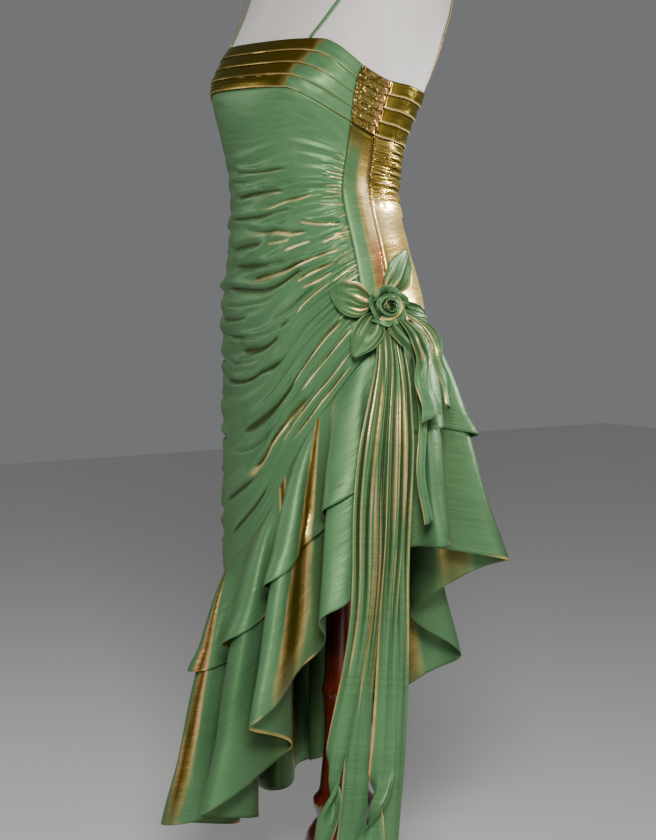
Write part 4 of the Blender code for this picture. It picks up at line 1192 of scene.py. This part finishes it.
def knot():
    """Gathered ball of satin: pleats run from its middle to its edge."""
    centre, away, side, up = knot_frame()
    shape = bmesh.new()
    bmesh.ops.create_uvsphere(shape, u_segments=72, v_segments=30, radius=KNOT_RADIUS)
    uv, (gold, _, _, _) = cloth_marks(shape)
    for vert in shape.verts:
        turn = math.atan2(vert.co.y, vert.co.x)
        pleat = KNOT_PLEAT * math.sin(turn * KNOT_PLEATS) * math.hypot(vert.co.x, vert.co.y) / KNOT_RADIUS
        local = vert.co * (1 - KNOT_INSET / KNOT_RADIUS + pleat / KNOT_RADIUS)
        vert.co = centre + side * local.x + up * local.y + away * local.z
        vert[gold] = 0.35 + 250 * pleat
    for face in shape.faces:
        for loop in face.loops:
            loop[uv].uv = (loop.vert.co.y, loop.vert.co.z)
    bmesh.ops.recalc_face_normals(shape, faces=shape.faces[:])
    finish_piece("gathered_knot", shape, TRIM_SATIN)


def rose_point(radius, turn, rise):
    """Place over the knot: radius and turn round its axis, rise above its rounded top."""
    centre, away, side, up = knot_frame()
    dome = math.sqrt(max(KNOT_RADIUS ** 2 - min(radius, KNOT_RADIUS * 0.95) ** 2, 0.0))
    return centre + away * (dome + ROSE_FOOT + rise) + (side * math.sin(turn) + up * math.cos(turn)) * radius


def rose_tone(across, down, normal):
    """Green with some gold on the lips and a painted glint there, and painted shade that darkens it toward the
    root.
    """
    rim = ease(0.07, 0.0, down) * ease(0.25, 0.7, uneven(across * 9, 0.0, 7.0))
    return 0.5 * rim, 0.0, 0.85 * ease(0.05, 0.6, down) - 0.4 * rim


def rose():
    """Rolled heart and outer petals whose lips turn outward."""
    centre, away, _, _ = knot_frame()
    core = centre - away * ROSE_CORE_BEHIND

    def heart(across, down):
        turn = math.tau * HEART_TURNS * across
        height = 1 - down
        radius = blend(blend(0.0022, 0.0080, across), blend(0.0030, 0.0185, across), height ** 1.4)
        radius += 0.0013 * height * math.sin(turn * 2.3 + 1.0) * ease(0.1, 0.5, across)
        lip = 0.0016 * ease(0.8, 1.0, height) * ease(0.15, 0.5, across)
        wave = 0.0011 * height * math.sin(turn * 3.1) * ease(0.2, 0.6, across)
        return rose_point(radius + lip, turn, height * blend(0.017, 0.012, across) - lip * 0.8 + wave)

    satin_sheet("rose_heart", 210, 14, heart, rose_tone, TRIM_SATIN, core=core,
                hem_at=lambda across, down: down * 0.016)
    for number in range(PETALS):
        def petal(across, down):
            def wavy(waves, offset):
                return math.sin(math.tau * (waves * across + offset * number))

            height = 1 - down
            crown = math.sin(math.pi * min(max(across, 0.02), 0.98)) ** 0.5
            radius = blend(blend(0.0098, 0.0138, across), blend(0.0198, 0.0274, across), height ** 1.3)
            radius += 0.0016 * height ** 2 * wavy(1.4, 0.37)
            rise = 0.0150 * (1 - 0.40 * (1 - crown))
            lip = (0.0022 + 0.0012 * wavy(0.9, 0.31)) * ease(0.66, 1.0, height) * crown
            return rose_point(radius + lip * 0.6, math.tau / PETALS * (number + PETAL_SPAN * across),
                              height * rise - lip + 0.0014 * height ** 2 * wavy(1.8, 0.23))

        satin_sheet("rose_petal_%d" % (number + 1), 36, 14, petal, rose_tone, TRIM_SATIN, core=core,
                    hem_at=lambda across, down: down * 0.018)


def root_of(turn, lift):
    """Arc offset, height and distance out of a root on the knot, turned from straight down."""
    reach = math.sqrt((KNOT_RADIUS + KNOT_CLEAR) ** 2 - lift ** 2)
    sideways = reach * math.sin(math.radians(turn))
    height = ROSE_HEIGHT - reach * math.cos(math.radians(turn))
    return sideways, height, KNOT_OUT + lift


def leaf(row, seed):
    """Pointed leaf of doubled satin, gathered at its root and creased down its middle."""
    root_side, root_height, root_out = root_of(row.root_turn, row.root_lift)
    tip_side = math.radians(row.tip_angle - ROSE_ANGLE) * HIP_RADIUS
    tip_out = FACE + LEAF_TIP_OUT + row.tip_lift
    length = math.hypot(tip_side - root_side, row.tip_height - root_height)
    along_side = (tip_side - root_side) / length
    along_up = (row.tip_height - root_height) / length

    def pleats(aside, down):
        """Folds that fan out from the gathered root."""
        return math.cos(aside * 8.0 + seed + 1.2 * uneven(aside * 2, down * 1.5, seed))

    def place(across, down):
        fullness = math.sin(math.pi * min(down ** 0.8, 0.985)) ** 0.75
        aside = across * 2 - 1
        offset = aside * max(row.half_width * fullness, LEAF_ROOT_HALF_WIDTH)
        offset += 0.0016 * uneven(down * 3.5, across * 0.8, seed + 4) * ease(0.0, 0.3, down)
        crease = LEAF_CREASE * row.half_width * (1 - abs(aside)) * fullness
        lift = blend(root_out, tip_out, down) + math.sin(math.pi * down) * 0.004
        lift += LEAF_PLEAT * pleats(aside, down) * ease(0.95, 0.15, down) * ease(0.0, 0.10, down)
        lift += LEAF_RIM * ease(0.62, 1.0, abs(aside)) * fullness
        lift += LEAF_WAVE * uneven(across * 2.2, down * 2.6, seed) * fullness
        sideways = root_side + along_side * length * down - along_up * offset
        height = root_height + along_up * length * down + along_side * offset
        return figure_point(ROSE_ANGLE + math.degrees(sideways / HIP_RADIUS), height, lift - crease)

    def tone(across, down, normal):
        root = ease(0.70, 0.05, down)
        fold = pleats(across * 2 - 1, down)
        streak = root * ease(0.35, 0.95, fold)
        rim = ease(0.86, 0.98, 1 - across) * ease(0.0, 0.25, down) * ease(0.75, 0.45, down)
        bright = LEAF_GOLD.get(row.name, 0.35)
        # Painted shade over the leaf, deepest in the pleat hollows near the root, and painted glints on the
        # gold streaks and rim
        shade = 0.30 + 0.6 * root * ease(0.2, -0.9, fold)
        return bright * max(streak, rim), 0.4 * streak, blend(shade, -0.6, bright * max(0.6 * streak, rim))

    satin_sheet(row.name, 30, 40, place, tone, TRIM_SATIN, wall=LEAF_WALL,
                hem_at=lambda across, down: min(across, 1 - across) * row.half_width * 2)


def tail_course(row, root_angle, root_out):
    """Angle, distance out and width of a tail down its length."""
    root = (root_angle, root_out, TAIL_TOP_WIDTH)
    middle = (row.mid_angle, row.mid_out, row.mid_width)
    end = (row.end_angle, row.end_out, row.end_width)

    def between(first, second, *shares):
        return [blend(one, other, share) for one, other, share in zip(first, second, shares)]

    return (
        (0.00, *root),
        (0.06, *between(root, middle, 0.18, 0.30), TAIL_TOP_WIDTH * 1.8),
        (0.13, *between(root, middle, 0.44, 0.60, 0.75)),
        (0.22, *between(root, middle, 0.70, 0.85, 1.05)),
        (0.50, *middle),
        (0.78, *between(middle, end, 0.50, 0.60, 0.50)),
        (1.00, *end),
    )


def tail(row, seed):
    """Long pleated strip of satin that hangs from the knot and opens as it falls."""
    root_side, root_height, root_out = root_of(row.root_turn, row.root_lift)
    course = tail_course(row, ROSE_ANGLE + math.degrees(root_side / HIP_RADIUS), root_out)
    fall = root_height - row.end_height

    def wander(down):
        return 1.1 * uneven(down * 3.0, 0.5, seed)

    def folds(across, down):
        """Height of the gathered cloth: two full folds and finer ones between them."""
        main = signed_power(math.cos(math.tau * 2 * across + wander(down)), 0.7)
        return 0.85 * main + 0.45 * math.cos(math.tau * 4.5 * across - 1.6 * wander(down) + seed)

    def place(across, down):
        angle, out, width = lookup(course, down)
        height = root_height - fall * down
        point, away = figure_frame(angle, max(height, LOWEST_SECTION))
        side = Vector((-away.y, away.x, 0.0))
        turn = math.radians(row.twist) * max(0.0, down - TAIL_TWIST_FROM) / (1 - TAIL_TWIST_FROM)
        curled = 0.5 * ease(0.22, 0.60, down)
        if row.name in HALF_TWISTS:
            over = ease(*HALF_TWISTS[row.name], down)
            turn += math.pi * over
            width *= 1 - 0.35 * math.sin(math.pi * over)
            curled += 1.2 * math.sin(math.pi * over)
        turn += 0.30 * uneven(down * 4.0, 2.0, seed) * ease(0.15, 0.5, down)
        wide = side * math.cos(turn) + away * math.sin(turn)
        facing = away * math.cos(turn) - side * math.sin(turn)
        opened = 0.25 + 0.75 * min(1.0, down * 5)
        pleat = TAIL_PLEAT * opened * (0.10 + 0.90 * ease(0.66, 0.30, down)) * folds(across, down)
        bow = TAIL_BOW * curled * math.cos(math.pi * (2 * across - 1) + 2.4 * uneven(down * 2.2, 4.0, seed))
        sway = TAIL_SWAY * math.sin(math.tau * (down * 1.9 + seed * 0.17)) * ease(0.15, 0.5, down)
        middle = Vector((point.x, point.y, height)) + away * out
        middle.z += 0.5 * width * (across - 0.5) * math.copysign(1.0, row.twist) * ease(0.97, 1.0, down)
        aside = (across - 0.5) * width * (1 + 0.08 * wander(down)) + sway
        return middle + wide * aside + facing * (pleat + bow)

    def tone(across, down, normal):
        gold, copper = 0.0, 0.0
        for number in range(TAIL_LINES):
            middle = (number + 0.6) / TAIL_LINES + 0.10 * uneven(down * 2.5, number * 3.1, seed)
            length = 0.5 + 0.5 * uneven(number * 2.3, seed, 3.0)
            begins = 0.10 * uneven(number * 1.7, seed, 5.0)
            ends = begins + (0.25 + 0.75 * length if number else 1.2)
            taper = ease(begins - 0.05, begins + 0.08, down) * ease(ends, ends - 0.25, down)
            width = 0.020 + 0.055 * ease(-0.2, 0.6, uneven(down * 5.0, number * 2.0, seed + 6))
            broken = ease(-0.5, 0.1, uneven(number * 5.0, down * 7.0, seed + 1))
            here = hump(across - middle * (1.0 if number else 0.25), width) * taper
            here *= broken * ease(0.85, 0.50, down) if number else 0.35 + 0.55 * broken
            gold = max(gold, (0.6 + 0.7 * length) * here)
            copper = max(copper, 0.8 * here * ease(-0.4, 0.4, uneven(number * 4.0, down * 4.0, seed + 2)))
        # Painted shade in the furrows of the upper pleats, and painted glints on the gold lines, strongest
        # near the root
        furrow = ease(0.1, -0.9, folds(across, down)) * ease(0.70, 0.35, down)
        shine = max(ease(0.0, 0.6, uneven(across * 2.0, down * 5.0, seed + 3)), ease(0.55, 0.25, down))
        return min(1.0, gold), copper, blend(0.95 * furrow, -0.50 * shine, min(1.0, gold))

    satin_sheet(row.name, 64, 30 if fall < SHORT_FALL else 120, place, tone, TRIM_SATIN,
                hem_at=lambda across, down: (1 - down) * fall)


def ornament():
    knot()
    rose()
    for number, row in enumerate(LEAVES):
        leaf(row, 1.0 + number)
    for number, row in enumerate(TAILS):
        tail(row, 2.0 + number * 1.37)


# Straps

def shoulder_height(x):
    """Height of the top of the shoulder at a distance from the middle."""
    height = SHOULDER
    while lookup(FIGURE, height + SLOPE_STEP)[0] > x:
        height += SLOPE_STEP
    return height


def strap_foot(x, front):
    """Height just above the band's top edge at this distance from the middle."""
    height = BAND_TOP[0][1] if front else BAND_TOP[-1][1]
    for _ in range(6):
        half_width, _, _, power = figure_section(height, front)
        angle = math.degrees(math.asin(min(1.0, (x / half_width) ** (power / 2))))
        height = band_edge(BAND_TOP, angle if front else 180 - angle) + STRAP_FOOT_GAP
    return height


def form_point(x, height, front):
    """Point on the form at a distance from the middle, and the direction away from the form."""
    def level(x, y, height):
        half_width, depth, middle, power = figure_section(height, front)
        return (abs(x) / half_width) ** power + abs((y - middle) / depth) ** power - 1

    half_width, depth, middle, power = figure_section(height, front)
    y = middle + depth * max(1 - (x / half_width) ** power, 0.0) ** (1 / power)
    slope = Vector((
        level(x + SLOPE_STEP, y, height) - level(x - SLOPE_STEP, y, height),
        level(x, y + SLOPE_STEP, height) - level(x, y - SLOPE_STEP, height),
        level(x, y, height + SLOPE_STEP) - level(x, y, height - SLOPE_STEP),
    ))
    return Vector((x, y, height)), slope.normalized()


def strap_leg(edge_x, front, bridge, steps):
    """Points and directions from the band's edge up one face of the form to the shoulder.

    bridge is how far the strap stands off the hollow above the bust.
    """
    foot, top = strap_foot(edge_x, front) - STRAP_FOOT_GAP, shoulder_height(STRAP_TOP_X)
    leg = []
    for step in range(steps + 1):
        part = step / steps
        rise = math.sin(part * math.pi / 2)
        point, away = form_point(blend(edge_x, STRAP_TOP_X, rise), blend(foot, top, rise), front)
        leg.append((point + away * bridge * math.sin(part * math.pi), away))
    return leg


def strap(name, side):
    """Thin tube strap, pressed flat, from the band over the shoulder to the back band."""
    path = (strap_leg(STRAP_FRONT_X, True, STRAP_BRIDGE, STRAP_STEPS)
            + strap_leg(STRAP_BACK_X, False, 0.0, STRAP_STEPS)[-2::-1])
    flat = [Vector((side * spot.x, spot.y, spot.z)) for spot, _ in path]
    away = [Vector((side * face.x, face.y, face.z)) for _, face in path]
    last = len(flat) - 1

    def place(across, down):
        number = round(down * last)
        along = (flat[min(number + 1, last)] - flat[max(number - 1, 0)]).normalized()
        wide = along.cross(away[number]).normalized()
        height = STRAP_LIFT + STRAP_THICK - STRAP_CROWN * (2 * across - 1) ** 2
        return flat[number] + away[number] * height + wide * ((across - 0.5) * STRAP_WIDTH)

    # Gold painted as sheen where the strap turns from the camera
    satin_sheet(name, 6, last, place, lambda across, down, normal: (0.5 * turned_away(normal), 0.0, 0.0),
                TRIM_SATIN, wall=STRAP_THICK,
                hem_at=lambda across, down: min(across, 1 - across) * STRAP_WIDTH + 0.001)


# Floor, light and camera

def upright(height):
    """Point at a height over the middle of the stand."""
    return Vector((0, 0, height))


def aimed(holder, spot, aim):
    """Puts a lamp or the camera at a spot and points it at another."""
    holder.location = spot
    holder.rotation_euler = (aim - spot).to_track_quat("-Z", "Y").to_euler()


def floor():
    """Plain pale floor."""
    shape = bmesh.new()
    bmesh.ops.create_grid(shape, x_segments=2, y_segments=2, size=6.0)
    paint = finished(new_material("floor_paint")[0], {"Base Color": (0.76, 0.75, 0.74), "Roughness": 0.9})
    mesh_of("floor", shape, paint)


def lights():
    """Soft lamps: name, place, size, power, spread and the height that each is aimed at."""
    world = bpy.data.worlds.new("studio")
    world.use_nodes = True
    sky = world.node_tree.nodes["Background"]
    sky.inputs["Color"].default_value = (0.80, 0.81, 0.83, 1.0)
    sky.inputs["Strength"].default_value = 0.22
    bpy.context.scene.world = world
    for name, spot, size, power, cone, aim_height in (
            ("key", TOWARD_CAMERA * 2.4 + CAMERA_SIDE * 0.05 + upright(1.75), 0.50, 84.0, 180, 0.75),
            ("fill", TOWARD_CAMERA * 1.6 + CAMERA_SIDE * 1.9 + upright(1.1), 1.2, 14.0, 180, 0.65),
            ("left", CAMERA_SIDE * -2.3 - TOWARD_CAMERA * 0.4 + upright(1.6), 1.0, 12.0, 180, 0.75),
            ("rim", CAMERA_SIDE * 2.1 - TOWARD_CAMERA * 0.6 + upright(1.25), 0.34, 2.2, 16, 1.00)):
        lamp = bpy.data.lights.new(name, "AREA")
        lamp.size = size
        lamp.energy = power
        lamp.spread = math.radians(cone)
        aimed(placed(name, lamp), spot, upright(aim_height))


def camera():
    """The camera at the photograph's viewing angle."""
    lens = bpy.data.cameras.new("camera")
    lens.sensor_fit = "VERTICAL"
    lens.sensor_height = 36.0
    lens.lens = lens.sensor_height * CAMERA_AWAY / FRAME_HEIGHT
    holder = placed("camera", lens)
    aside = CAMERA_SIDE * CAMERA_SHIFT
    aimed(holder, TOWARD_CAMERA * CAMERA_AWAY + aside + upright(CAMERA_HEIGHT), aside + upright(AIM_HEIGHT))
    bpy.context.scene.camera = holder


def main():
    form_torso()
    turned("stand_column", COLUMN_PROFILE, 0.009)
    turned("stand_base", BASE_PROFILE, 0.016)
    band()
    sheath()
    flounces()
    ornament()
    strap("strap_left", 1)
    strap("strap_right", -1)
    floor()
    lights()
    camera()


main()
